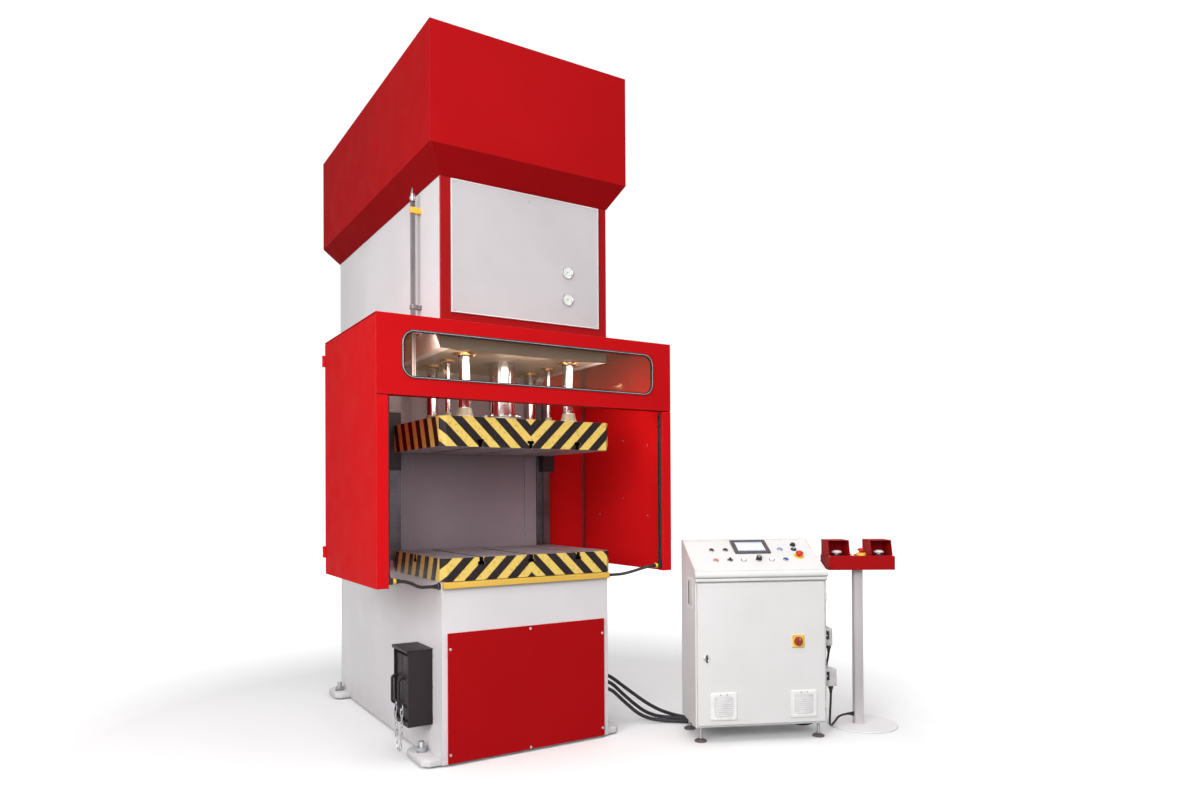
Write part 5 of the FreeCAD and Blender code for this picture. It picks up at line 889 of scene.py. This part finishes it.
for side, body in DOORS:
    @as_piece(body + "_seal", [SHADE_STRIP_RED], body, "rubber")
    def door_shade_strip(piece):
        """Dark red strip with a raised bead on a guard door's rear fold, where it meets the guard: painted
        shade that stands for the shaded gap there.
        """
        # Painted shade: a dark red strip on the lit fold stands for the shade of the gap.
        lay(piece, plate([(778, 467.9), (778, 466.2), (786, 465.4), (790, 463.6), (794, 463.6),
            (798, 465.4), (812.8, 466.2), (812.8, 467.9)], 1216, 0), at(0, 0, 892, mirror(side)))


# ---------------------------------------------------------------- left side: sensor, holder, props, chains
@as_piece("stroke_sensor", [ANODISED, BLACK_PLASTIC, STAINLESS], "press", "anodised", "position_sensor")
def stroke_sensor(piece):
    """Stroke sensor in its aluminium section with its stainless plug and coupling nut."""
    outline = [(-14, -14), (-4, -14), (-4, -10.5), (-6, -10.5), (-6, -9), (6, -9), (6, -10.5), (4, -10.5),
        (4, -14), (14, -14), (14, 14), (-14, 14), (-14, 4), (-10.5, 4), (-10.5, 6), (-9, 6), (-9, -6),
        (-10.5, -6), (-10.5, -4), (-14, -4)]
    slim = Matrix.Diagonal((0.72, 0.72, 1, 1))
    lay(piece, plate(outline, 981, 0), at(SENSOR_X, SENSOR_Y, 1802, slim))
    for z in (1800, 2777):
        lay(piece, block((-14, -14, 0), (14, 14, 8), 1.2), at(SENSOR_X, SENSOR_Y, z, slim), 1)
    plug = at(SENSOR_X, SENSOR_Y, 2785)
    lathe(piece, [(0, 0), (10.5, 0), (10.5, 7), (14.4, 8), (14.4, 24), (12.8, 26), (11.2, 27), (11.2, 34),
        (9.8, 41), (7.4, 48), (6.6, 55), (4.2, 63), (3.4, 67.6), (0, 67.8)], 28, plug, 2)
    for k in range(16):
        lay(piece, block((14, -0.7, 9.5), (14.8, 0.7, 23), 0.2), plug @ turn(22.5 * k), 2)


@as_piece("sensor_clamp_blocks", [YELLOW_PLASTIC, ZINC, ANODISED], "press", "yellow_paint", "sensor_clamps")
def clamps(piece):
    """Clamp blocks of the sensor in two halves with their screws: yellow plastic above, grey metal below."""
    for z, half, finish in ((2738, 15, 0), (2250, 11, 2)):
        for left, front, right, rear in ((-525, -58, -470.2, -54.2), (-525, -33.8, -470.2, -30),
                (-525, -54.4, -521.2, -33.6), (-500.8, -54.4, -470.2, -33.6)):
            lay(piece, block((left, front, z - half), (right, rear, z + half), 1.4), material=finish)
        for lift in (-6.4, 6.4):
            for x in (-483, -518):
                lay(piece, cap_screw(3.4, 2.4), at(x, -58, z + lift, TO_FRONT), 1)


@as_piece("safety_props_handled", [BLACK_PAINT], "press", "black_paint", "safety_props")
def props(piece):
    """Two safety props: hollow square blocks with welded bent-bar handles."""
    for y in (-134, -36):
        form = cuboid((-530, y, 350.5), (108, 90, 335))
        top = [max(form.faces, key=lambda face: face.calc_center_median().z)]
        bmesh.ops.inset_region(form, faces=top, thickness=12)
        draw(form, top, -322)
        bmesh.ops.delete(form, geom=top, context="FACES")
        lay(piece, soften(form, 2, 3))
        lay(piece, bar([(-583, y, 273), (-622, y, 273), (-622, y, 308), (-622, y, 378), (-622, y, 413),
            (-583, y, 413)], 7.6))
        for z in (273, 413):
            lathe(piece, [(0, 0), (11.6, 0), (10.6, 1.8), (8.6, 3.8), (7.6, 6), (0, 6)],
                24, at(-584, y, z, TO_LEFT))


def chain_link():
    """One welded oval link, long along X, stretched from a round ring."""
    form = turned([(6.4 + across, z) for across, z in ring_outline(2.8, 8)], 20, True)
    bmesh.ops.remove_doubles(form, verts=form.verts, dist=0.001)
    for side in (-1, 1):
        half = [v for v in form.verts if v.co.x * side > 0.001]
        bmesh.ops.translate(form, vec=(side * 11.8, 0, 0), verts=half)
    return form


@as_piece("prop_chain_welded", [CHAIN_ZINC], "press", "zinc", "prop_chains", crease=60)
def chains(piece):
    """The zinc chain that hangs between the two handles from a ring on each, its links turned by quarters.
    The pull that lets its fifteen links just span the gap is found by halving."""
    x, links, pitch, first, second = -606, 15, 30, -134, -36
    for y in (first, second):
        ring = [(14 + across, z) for across, z in ring_outline(2.5, 8)]
        hoop(piece, ring, 28, at(x, y, 269.8, TO_LEFT))
    low, high = 0.001, 100
    for _ in range(60):
        pull = (low + high) / 2
        slopes = [math.atan(pull * (k - (links - 1) / 2)) for k in range(links)]
        if pitch * sum(math.cos(slope) for slope in slopes) > second - first:
            low = pull
        else:
            high = pull
    y, z = first, 258.6
    for k, slope in enumerate(slopes):
        along, up = pitch * math.cos(slope), pitch * math.sin(slope)
        lean = Matrix.Rotation(slope, 4, "X") @ turn(90) @ turn(90 * (k % 2), "X")
        lay(piece, chain_link(), at(x, y + along / 2, z + up / 2, lean))
        y += along
        z += up


@as_piece("prop_holder_screws", [BLACK_PAINT, ZINC], "press", "zinc")
def holder_details(piece):
    """Screws and the weld seam of the black prop holder on the side plate."""
    for y in (-198, 28):
        lay(piece, bar([(-470.6, y, 548), (-480, y, 551.4), (-603, y, 551.4)], 0.7))
    for y in (-200, 30):
        for z in (215, 365, 515):
            lathe(piece, [(0, 0), (7.5, 0), (6.4, 2), (3.5, 3.4), (0, 3.8)], 20, at(-470.4, y, z, TO_LEFT), 1)


# ---------------------------------------------------------------- desk: door fittings
@as_piece("desk_vents", [VENT_PLASTIC, LOUVRE_PLASTIC, INK_AND_SHADE], "console_door", "plastic_white")
def desk_vents(piece):
    """Two vent frames with their louvre grids and small fixing screws."""
    for a in (147, 583):
        place = DESK @ at(a, 0.6, 190, TO_FRONT)
        lay(piece, rim(rounded(142, 142, 12, 5), rounded(100, 104, 14, 5), 3, 1), place)
        lay(piece, rim(rounded(104, 108, 15, 5), rounded(96, 100, 12, 5), 4.2, 0.8), place, 1)
        for k in range(10):
            z = -45 + 10 * k
            half = 48 if abs(z) < 42 else 44
            slat = block((-half, -1, -4.4), (half, 1, 4.4), 0.5)
            lay(piece, slat, place @ at(0, z, 1.6, turn(60, "X")), 1)
        for x in (-26, -2, 22):
            lay(piece, block((x, -49, 0), (x + 1.2, 49, 0.9), 0.2), place, 1)
        for x in (-17, 17):
            lay(piece, cap_screw(3, 1.6, 16), place @ at(x, 61, 2.8), 2)


@as_piece("desk_door_edge", [DESK_PAINT], "console_door", "desk_white")
def desk_door_edge(piece):
    """Folded edge round the desk's door."""
    lay(piece, rim(rounded(697.6, 743.4, 3, 3), rounded(692, 738, 2, 3), 0.7, 0.3),
        DESK @ at(355, 3.6, 464, TO_FRONT))


@as_piece("desk_nosing", [DESK_PAINT], "press", "desk_white", crease=50)
def desk_nosing(piece):
    """Rolled nose along the desk's front, the smaller bead below it, and the slope's folded rim."""
    along = DESK @ Matrix(((0, 0, 1, 0), (1, 0, 0, 0), (0, 1, 0, 0), (0, 0, 0, 1)))
    nose = [(12, 897.2), (2, 892.6), (-4, 888.6), (-7.6, 882.5), (-8.8, 875), (-8.2, 867.5), (-5, 861.8),
        (0.5, 859), (6, 859), (6, 885)]
    bead = [(9, 858.6), (2.5, 858.2), (-1.2, 854.5), (-2.4, 849), (-1.4, 843.5), (2, 839.8), (9, 839.4)]
    lay(piece, plate(nose, 723, 0), along @ at(0, 0, -4))
    lay(piece, plate(bead, 717, 0), along @ at(0, 0, -1))
    lay(piece, rim(rounded(713, 331, 4, 3), rounded(693, 311, 3, 3), 1.6, 0.6), on_slope(357.5, 166.8))


LOCK = DESK @ at(57, 1.7, 442, TO_FRONT)


@as_piece("lock_bezel", [STAINLESS], "console_door", "zinc")
def lock_bezel(piece):
    """Bezel ring of the quarter-turn lock, fixed to the door."""
    hoop(piece, [(9.5, -0.2), (18, -0.2), (18, 1.4), (16.4, 2.6), (11, 2.6), (9.5, 1.6)], 40, LOCK)


@as_piece("door_lock_wing", [STAINLESS, BLACK_PLASTIC, INK_AND_SHADE], "door_lock", "zinc", "door_lock")
def lock_wing(piece):
    """Barrel of the lock with its wing."""
    lathe(piece, [(0, -8), (9, -8), (9, 1.2), (8.2, 2.2), (0, 2.2)], 32, LOCK)
    lay(piece, block((-4, -20, 2.8), (4, 20, 8), 1.6), LOCK, 1)
    lathe(piece, [(0, 2), (6.5, 2), (6, 6), (0, 6.4)], 28, LOCK, 1)
    lay(piece, block((-0.8, -3.6, 6.2), (0.8, 3.6, 6.8), 0.2), LOCK, 2)


SWITCH = DESK @ at(554, 0.7, 520, TO_FRONT)


@as_piece("main_switch_plate", [YELLOW_PLASTIC, ZINC], "console_door", "yellow_paint")
def switch_plate(piece):
    """Yellow plate of the main switch with four screws on the door."""
    lay(piece, rim(rounded(67, 67, 5, 5), ring_outline(23.8, 29), 2.2, 0.7), SWITCH)
    hoop(piece, [(23.9, 0), (26.5, 0), (25.8, 3.2), (24.1, 3.2)], 40, SWITCH)
    for x in (-26, 26):
        for y in (-26, 26):
            lay(piece, cap_screw(2.8, 1.2, 16), SWITCH @ at(x, y, 2), 1)


@as_piece("main_switch_handle", [SWITCH_RED, WHITE_PLASTIC], "main_switch_knob", "plastic_red",
          "main_switch_knob")
def switch_handle(piece):
    """Red rotary handle of the main switch with its ribbed skirt and white mark."""
    lathe(piece, [(0, -9), (9, -9), (9, 0.4), (22.8, 0.4), (22.4, 4), (20.4, 8.4), (19, 9), (0, 9)],
        48, SWITCH)
    handle = [(-6, -21), (6, -21), (7.5, -8), (7.5, 8), (6, 21), (-6, 21), (-7.5, 8), (-7.5, -8)]
    lay(piece, plate(handle, 17, 2), SWITCH @ at(0, 0, 8.4))
    lay(piece, block((-1, 8, 25.2), (1, 19, 25.6), 0.1), SWITCH, 1)
    for k in range(12):
        lay(piece, block((20.6, -2, 1.5), (22.8, 2, 6.4), 0.7), SWITCH @ turn(30 * k))


# ---------------------------------------------------------------- desk: controls on the slope
@as_piece("desk_control_bezels", [STAINLESS, BLACK_PLASTIC, LENS_DARK, LENS_WHITE, LENS_BLUE, YELLOW_PLASTIC],
      "press", "plastic_black")
def bezels(piece):
    """Control bezels on the slope, the fixed lamps and pushes in some of them and the key switch."""
    for a, s in ((137, 115), (215, 115), (291, 115), (374, 115), (447, 115), (525, 115), (137, 218),
            (215, 218), (525, 218), (604, 218), (614, 264)):
        hoop(piece, [(11.5, 0), (15.9, 0), (15.9, 3.8), (14.8, 5.6), (12.6, 6.2), (11.5, 5.4)],
            40, on_slope(a, s), 1 if a > 600 else 0)
    for a, s, material in ((137, 218, 2), (215, 218, 2), (447, 115, 3), (525, 218, 4)):
        lathe(piece, [(0, 5), (11.6, 5), (11.6, 8.6), (10.4, 9.8), (0, 10.6)], 36, on_slope(a, s), material)
    lathe(piece, [(0, 4), (11.7, 4), (11.7, 12), (10.6, 13.2), (0, 13.2)], 36, on_slope(614, 264), 1)
    lathe(piece, [(0, 4), (11.7, 4), (11.7, 9.4), (0, 9.4)], 36, on_slope(604, 218), 1)
    lathe(piece, [(0, 9), (7.5, 9), (7.5, 11.6), (6.6, 12.4), (0, 12.4)], 32, on_slope(604, 218), 0)
    lay(piece, block((-0.7, -3.8, 12), (0.7, 3.8, 12.7), 0.1), on_slope(604, 218), 1)
    hoop(piece, [(11.6, 0), (27.4, 0), (27.4, 2.2), (26.2, 3.6), (14, 4.2), (11.6, 4.2)], 48,
        on_slope(612, 150), 5)


for name, a, material, slot in (("push_button_red", 137, RED_CAP_PAINTED_HIGHLIGHT, "plastic_red"),
        ("push_button_white", 291, WHITE_PLASTIC, "plastic_white"),
        ("push_button_blue", 525, BLUE_PLASTIC, "plastic_blue")):
    @as_piece(name + "_cap", [material], name, slot, name)
    def push(piece):
        """A push button: shallow dished cap that slides in its bezel."""
        lathe(piece, [(0, -14), (14, -14), (14, -11), (11, -11), (11, 8), (10.2, 9), (9, 9), (5, 8.3),
            (0, 8.1)], 36, on_slope(a, 115))


STOP = (20, RED_PLASTIC, "plastic_red")
PALM = (28, WHITE_PLASTIC, "plastic_white")
for name, node, place, stem, (radius, material, slot) in (("desk_stop_head", "emergency_stop_desk",
        on_slope(612, 150), 15, STOP), ("stand_stop_head", "emergency_stop_stand", STAND @ at(-6, -20, 966),
        12, STOP), ("palm_head_left", "palm_button_left", STAND @ at(-140, -12, 959), 7.4, PALM),
        ("palm_head_right", "palm_button_right", STAND @ at(96, -12, 959), 7.4, PALM)):
    @as_piece(name, [material, WHITE_PLASTIC], node, slot, node)
    def mushroom(piece):
        """A mushroom head with a rolled edge on its stem; a stop head carries turning marks and ribs."""
        rise = [(0.84, 0), (0.97, 1.6), (1, 4.6), (0.96, 8.4), (0.78, 12.2), (0.45, 14.9), (0, 15.7)]
        lathe(piece, [(0, -15), (11, -15), (11, stem)] + [(radius * share, stem + up) for share,
            up in rise], 48, place)
        if material is not RED_PLASTIC:
            return
        arrow = [(6.5, -4.2), (9, -4.2), (9.6, 1.2), (10.8, 0.8), (8.6, 4.6), (5.6, 1.8), (7, 1.4)]
        for k in range(3):
            lay(piece, plate(arrow, 0.7, 0.15), place @ turn(120 * k) @ at(0, 0, stem + 13.3, turn(14,
                "Y")), 1)
        for k in range(24):
            rib = block((radius - 0.9, -0.9, stem + 2.6), (radius, 0.9, stem + 7.4), 0.3)
            lay(piece, rib, place @ turn(15 * k))


@as_piece("selector_grip", [BLACK_PLASTIC, WHITE_PLASTIC], "selector_switch", "plastic_black",
          "selector_switch")
def selector(piece):
    """Rotary selector with a raised pointer grip and its white mark."""
    place = on_slope(215, 115)
    lathe(piece, [(0, -14), (11, -14), (11, 7.4), (10.2, 8.2), (0, 8.2)], 36, place)
    lay(piece, plate([(-3.6, -10.2), (3.6, -10.2), (4.2, 0), (2.4, 10.4), (-2.4, 10.4), (-4.2, 0)], 9.8, 1.2),
        place @ at(0, 0, 8))
    lay(piece, block((-0.6, 3.5, 17.6), (0.6, 9.5, 17.95), 0.1), place, 1)


@as_piece("speed_knob_ribbed", [BLACK_PLASTIC, STAINLESS, WHITE_PLASTIC],
      "speed_knob", "plastic_black", "speed_knob")
def knob(piece):
    """Speed knob with a ribbed skirt, a spun metal cap and its pointer line."""
    place = on_slope(374, 115)
    lathe(piece, [(0, -14), (11, -14), (11, 6.4), (16.4, 6.4), (16.8, 9), (14.4, 12), (13.4, 25.4),
        (12.4, 26.6), (0, 26.6)], 48, place)
    for k in range(20):
        lay(piece, block((13, -0.9, 12), (14.7, 0.9, 25), 0.35), place @ turn(18 * k))
    lathe(piece, [(0, 26.4), (10.6, 26.4), (10.2, 27), (0, 27)], 40, place, 1)
    lay(piece, block((-0.6, 9.5, 26.4), (0.6, 14, 26.9), 0.1), place, 2)


@as_piece("operator_display_lit", [DISPLAY_FRAME, SCREEN, SCREEN_BAR, LENS_WHITE],
      "press", "plastic_black", "operator_display")
def display(piece):
    """Operator display: dark bezel with a raised lip, glass and a plain lit screen with blank fields."""
    place = on_slope(363.5, 249)
    lay(piece, rim(rounded(202, 138, 8, 5), rounded(158, 98, 3, 3), 7, 1.2), place)
    lay(piece, rim(rounded(166, 106, 4, 3), rounded(156, 96, 2, 3), 7.6, 0.6), place)
    lay(piece, block((-79, -49, 0.5), (79, 49, 5.4), 0.3), place, 1)
    lay(piece, block((-76, 36, 5.3), (76, 46, 5.6), 0), place, 2)
    for x in (-74, -36, 2, 40):
        lay(piece, block((x, -44, 5.3), (x + 34, -34, 5.6), 0), place, 2)
    lay(piece, block((-40, -22, 5.3), (70, 24, 5.5), 0), place, 3)


@as_piece("desk_feet_threaded", [PAD_RUBBER, ZINC], "press", "plastic_black", "console_feet")
def desk_feet(piece):
    """Levelling feet of the desk: conical rubber pads on threaded stems with lock nuts."""
    for a in (34, 681):
        for b in (50, 286):
            place = DESK @ at(a, b, 0)
            lathe(piece, [(0, 0), (31, 0), (32, 1.4), (32, 6), (30.4, 8), (25, 10), (16, 15), (11, 18),
                (0, 18)], 48, place)
            lay(piece, threaded(7.6, 17.5, 79.9, 2.4, 20), place, 1)
            lay(piece, hexagon_nut(19, 8, 6.5), place @ at(0, 0, 18.2), 1)
            lay(piece, hexagon_nut(24, 9, 6.5), place @ at(0, 0, 70.6), 1)


@as_piece("desk_plug_hoods", [GREY_PLASTIC, BLACK_PLASTIC, ZINC, RUBBER],
      "press", "plastic_grey", "console_plugs")
def desk_plugs(piece):
    """Two multi-pole plug hoods on their panel housings, with locking levers, covers and cable glands."""
    for z, out in ((530, 48), (312, 70)):
        low = z - 59
        place = DESK @ at(715, 62, 0)
        lay(piece, block((0, -26, low + 20), (3, 26, low + 118), 0.8), place)
        lay(piece, block((0, -23, low + 26), (16, 23, low + 112), 2.4), place)
        hood = cuboid((8 + out / 2, 0, low + 65), (out - 16, 42, 106))
        for vert in hood.verts:
            if vert.co.x > out - 1:
                vert.co.z += -15 if vert.co.z > low + 65 else 0
                vert.co.y *= 0.88
        lay(piece, soften(hood, 4, 3), place)
        lay(piece, block((15.4, -22.4, low + 12), (18.6, 22.4, low + 118), 1), place)
        for side in (-1, 1):
            lay(piece, block((6, side * 24.4 - 1.6, low + 46), (26, side * 24.4 + 1.6, low + 92), 1.2),
                place, 1)
            lathe(piece, [(0, 0), (4, 0), (3.4, 2.6), (0, 2.8)], 20,
                place @ at(12, side * 25.6, low + 69, turn(-90 * side, "X")), 2)
        x = out / 2 + 8
        lay(piece, plate(ring_outline(15, 6), 9, 0.8), place @ at(x, 0, low + 3), 1)
        lathe(piece, [(0, 0), (7.6, 0), (12.4, 3.2), (13, 6), (13, 14), (0, 14)],
            28, place @ at(x, 0, low - 8), 1)
        lay(piece, relief(6.2, 24, 3.4), place @ at(x, 0, low - 7.6, UPSIDE_DOWN), 3)


@as_piece("desk_side_handle", [VENT_PLASTIC, LOUVRE_PLASTIC, INK_AND_SHADE], "press", "plastic_white")
def desk_handle(piece):
    """Flush carrying handle on the desk's left side: a pale frame round a finger recess that is drawn flat,
    with a dark strip of painted shade in it.
    """
    place = DESK @ at(0, 119, 772, TO_LEFT)
    lay(piece, rim(rounded(168, 126, 22, 6), rounded(140, 98, 14, 6), 2.2, 0.8), place)
    lay(piece, plate(rounded(142, 100, 15, 6), 0.9, 0.3), place, 1)
    # Painted shade: the dark strip stands for the shade inside the finger recess.
    lay(piece, block((-62, 22, 0.8), (62, 40, 1.6), 0.6), place, 2)


@as_piece("desk_cable_glands", [BLACK_PLASTIC, RUBBER], "press", "plastic_black")
def desk_glands(piece):
    """Glands of the floor cables under the desk's rail, with their sleeves."""
    for a, bore in ((180, 10.2), (250, 10.2), (320, 10.2), (560, 6.2)):
        place = DESK @ at(a, 250, 212, UPSIDE_DOWN)
        lathe(piece, [(0, 0), (16.4, 0), (16.4, 8), (bore + 2, 12.4), (0, 12.4)], 28, place)
        lay(piece, relief(bore, 34 if bore > 8 else 24, 3.6), place @ at(0, 0, 12), 1)


# ---------------------------------------------------------------- two-hand stand
@as_piece("control_stand_pole", [STAND_PAINT, DISC_AND_HIGHLIGHT_PAINT, BLACK_PLASTIC, RUBBER],
      "press", "light_grey_paint", "control_stand")
def stand(piece):
    """Stand: heavy round foot with a turned edge, square tube with a weld seam, cap plate and gland."""
    lathe(piece, [(0, 0), (188.5, 0), (190, 1.5), (190, 6), (188, 8), (0, 8)], 96, STAND, 1)
    lay(piece, block((-47, -25, 7.5), (3, 25, 876), 5), STAND)
    around = [(1, -1), (1, -0.3), (1, 0.3), (1, 1), (0.3, 1), (-0.3, 1), (-1, 1), (-1, 0.3), (-1, -0.3),
        (-1, -1), (-0.3, -1), (0.3, -1)]
    weld = [(x * 25.4 - 22, y * 25.4, 9) for x, y in around]
    lay(piece, bar(weld, 2.6, True), STAND)
    lay(piece, block((-54, -32, 870.5), (10, 32, 875.9), 1), STAND)
    lay(piece, plate(ring_outline(13.6, 6), 6, 0.8), STAND @ at(-47, 0, 60, TO_LEFT), 2)
    lathe(piece, [(0, 5), (12.4, 5), (12.4, 9), (8, 12.4), (0, 12.4)], 28, STAND @ at(-47, 0, 60, TO_LEFT), 2)
    lay(piece, relief(6.2, 24, 3.4), STAND @ at(-59, 0, 60, TO_LEFT), 3)


@as_piece("tray_fittings", [BLACK_PLASTIC, YELLOW_PLASTIC, LENS_WHITE, ZINC], "press", "plastic_black")
def tray_fittings(piece):
    """Collars of the palm buttons and the stop, the ready lamp and the tray's screws."""
    for a in (-140, 96):
        hoop(piece, [(11.6, 0), (31.4, 0), (31.4, 4.4), (29.6, 6.6), (13, 7.2), (11.6, 6.6)], 48,
            STAND @ at(a, -12, TRAY_TOP))
    hoop(piece, [(11.6, 0), (27, 0), (27, 12.4), (25.6, 14.6), (13, 15.2), (11.6, 14.4)], 48,
        STAND @ at(-6, -20, TRAY_TOP), 1)
    lathe(piece, [(0, 0), (12.6, 0), (12.6, 2.6), (10.6, 3.4), (10.4, 6.6), (8.4, 11.6), (4.4, 14.2),
        (0, 14.8)], 36, STAND @ at(-56, -20, TRAY_TOP), 2)
    for a in (-196, 152):
        for b in (-72, 72):
            lay(piece, cap_screw(4.4, 2.6), STAND @ at(a, b, TRAY_TOP), 3)


# ---------------------------------------------------------------- studio
def area_light(name, place, aim, size, power, tint="#FFFFFF"):
    """A soft square light that isn't seen itself, with its place and aim in metres."""
    light = bpy.data.lights.new(name, "AREA")
    light.size = size
    light.energy = power
    light.color = colour(tint)[:3]
    lamp = linked(name, light)
    lamp.visible_camera = False
    lamp.location = place
    lamp.rotation_euler = (Vector(aim) - Vector(place)).to_track_quat("-Z", "Y").to_euler()


def stage(name, form, material):
    """A piece of the studio from a form and its finish."""
    mesh = bpy.data.meshes.new(name)
    form.to_mesh(mesh)
    form.free()
    mesh.materials.append(material)
    made = linked(name, mesh)
    return made


def studio():
    """Pale floor that fades to white away from the machine, a white backdrop and soft lights."""
    pale, tree, shader, place = start_material("pale_floor")
    away = add(tree, "VectorMath", {0: place}, "Value", operation="LENGTH")
    feed(shader, {"Base Color": colour("#F4F4F5"), "Roughness": 0.7, "Specular IOR Level": 0.1,
        "Emission Color": (1, 1, 1, 1), "Emission Strength": add(tree, "MapRange", {"Value": away, 1: 2.2,
        2: 5, 3: 0, 4: 0.7})})
    form = bmesh.new()
    bmesh.ops.create_grid(form, x_segments=1, y_segments=1, size=16)
    stage("floor", form, pale).visible_diffuse = False
    white, tree, shader, place = start_material("white_backdrop")
    feed(shader, {"Base Color": (0, 0, 0, 1), "Emission Color": (1, 1, 1, 1), "Emission Strength": 1})
    form = bmesh.new()
    bmesh.ops.create_icosphere(form, subdivisions=4, radius=19)
    bmesh.ops.reverse_faces(form, faces=form.faces)
    backdrop = stage("backdrop", form, white)
    for ray in ("diffuse", "glossy", "transmission", "shadow"):
        setattr(backdrop, "visible_" + ray, False)
    world = bpy.data.worlds.new("studio")
    bpy.context.scene.world = world
    world.use_nodes = True
    tree = world.node_tree
    up = add(tree, "SeparateXYZ", {0: add(tree, "TexCoord", output="Generated")}, 2)
    feed(tree.nodes["Background"], {0: (1, 1, 1, 1), 1: add(tree, "MapRange", {"Value": up, 1: -0.45,
        2: 0.05, 3: 0.1, 4: 0.6})})
    area_light("key", (-4.5, -5, 5.2), (0, 0, 1.4), 4, 100)
    area_light("front", (-2.4, -5.4, 2.7), (0.4, 0, 1.2), 3, 130)
    area_light("left", (-5, -3, 2.8), (0.3, 0, 1.3), 3, 190)
    area_light("top", (0.5, -1.5, 7.5), (0.3, 0, 1), 5, 180)
    for x in (-0.62, 0, 0.62):
        area_light("guard_lamp", (0.62 * x, -0.3, 1.985), (1.05 * x, 0.45, 1.35), 0.3, 3.2, "#FFE9D4")


studio()
bpy.context.scene.view_settings.view_transform = "Standard"
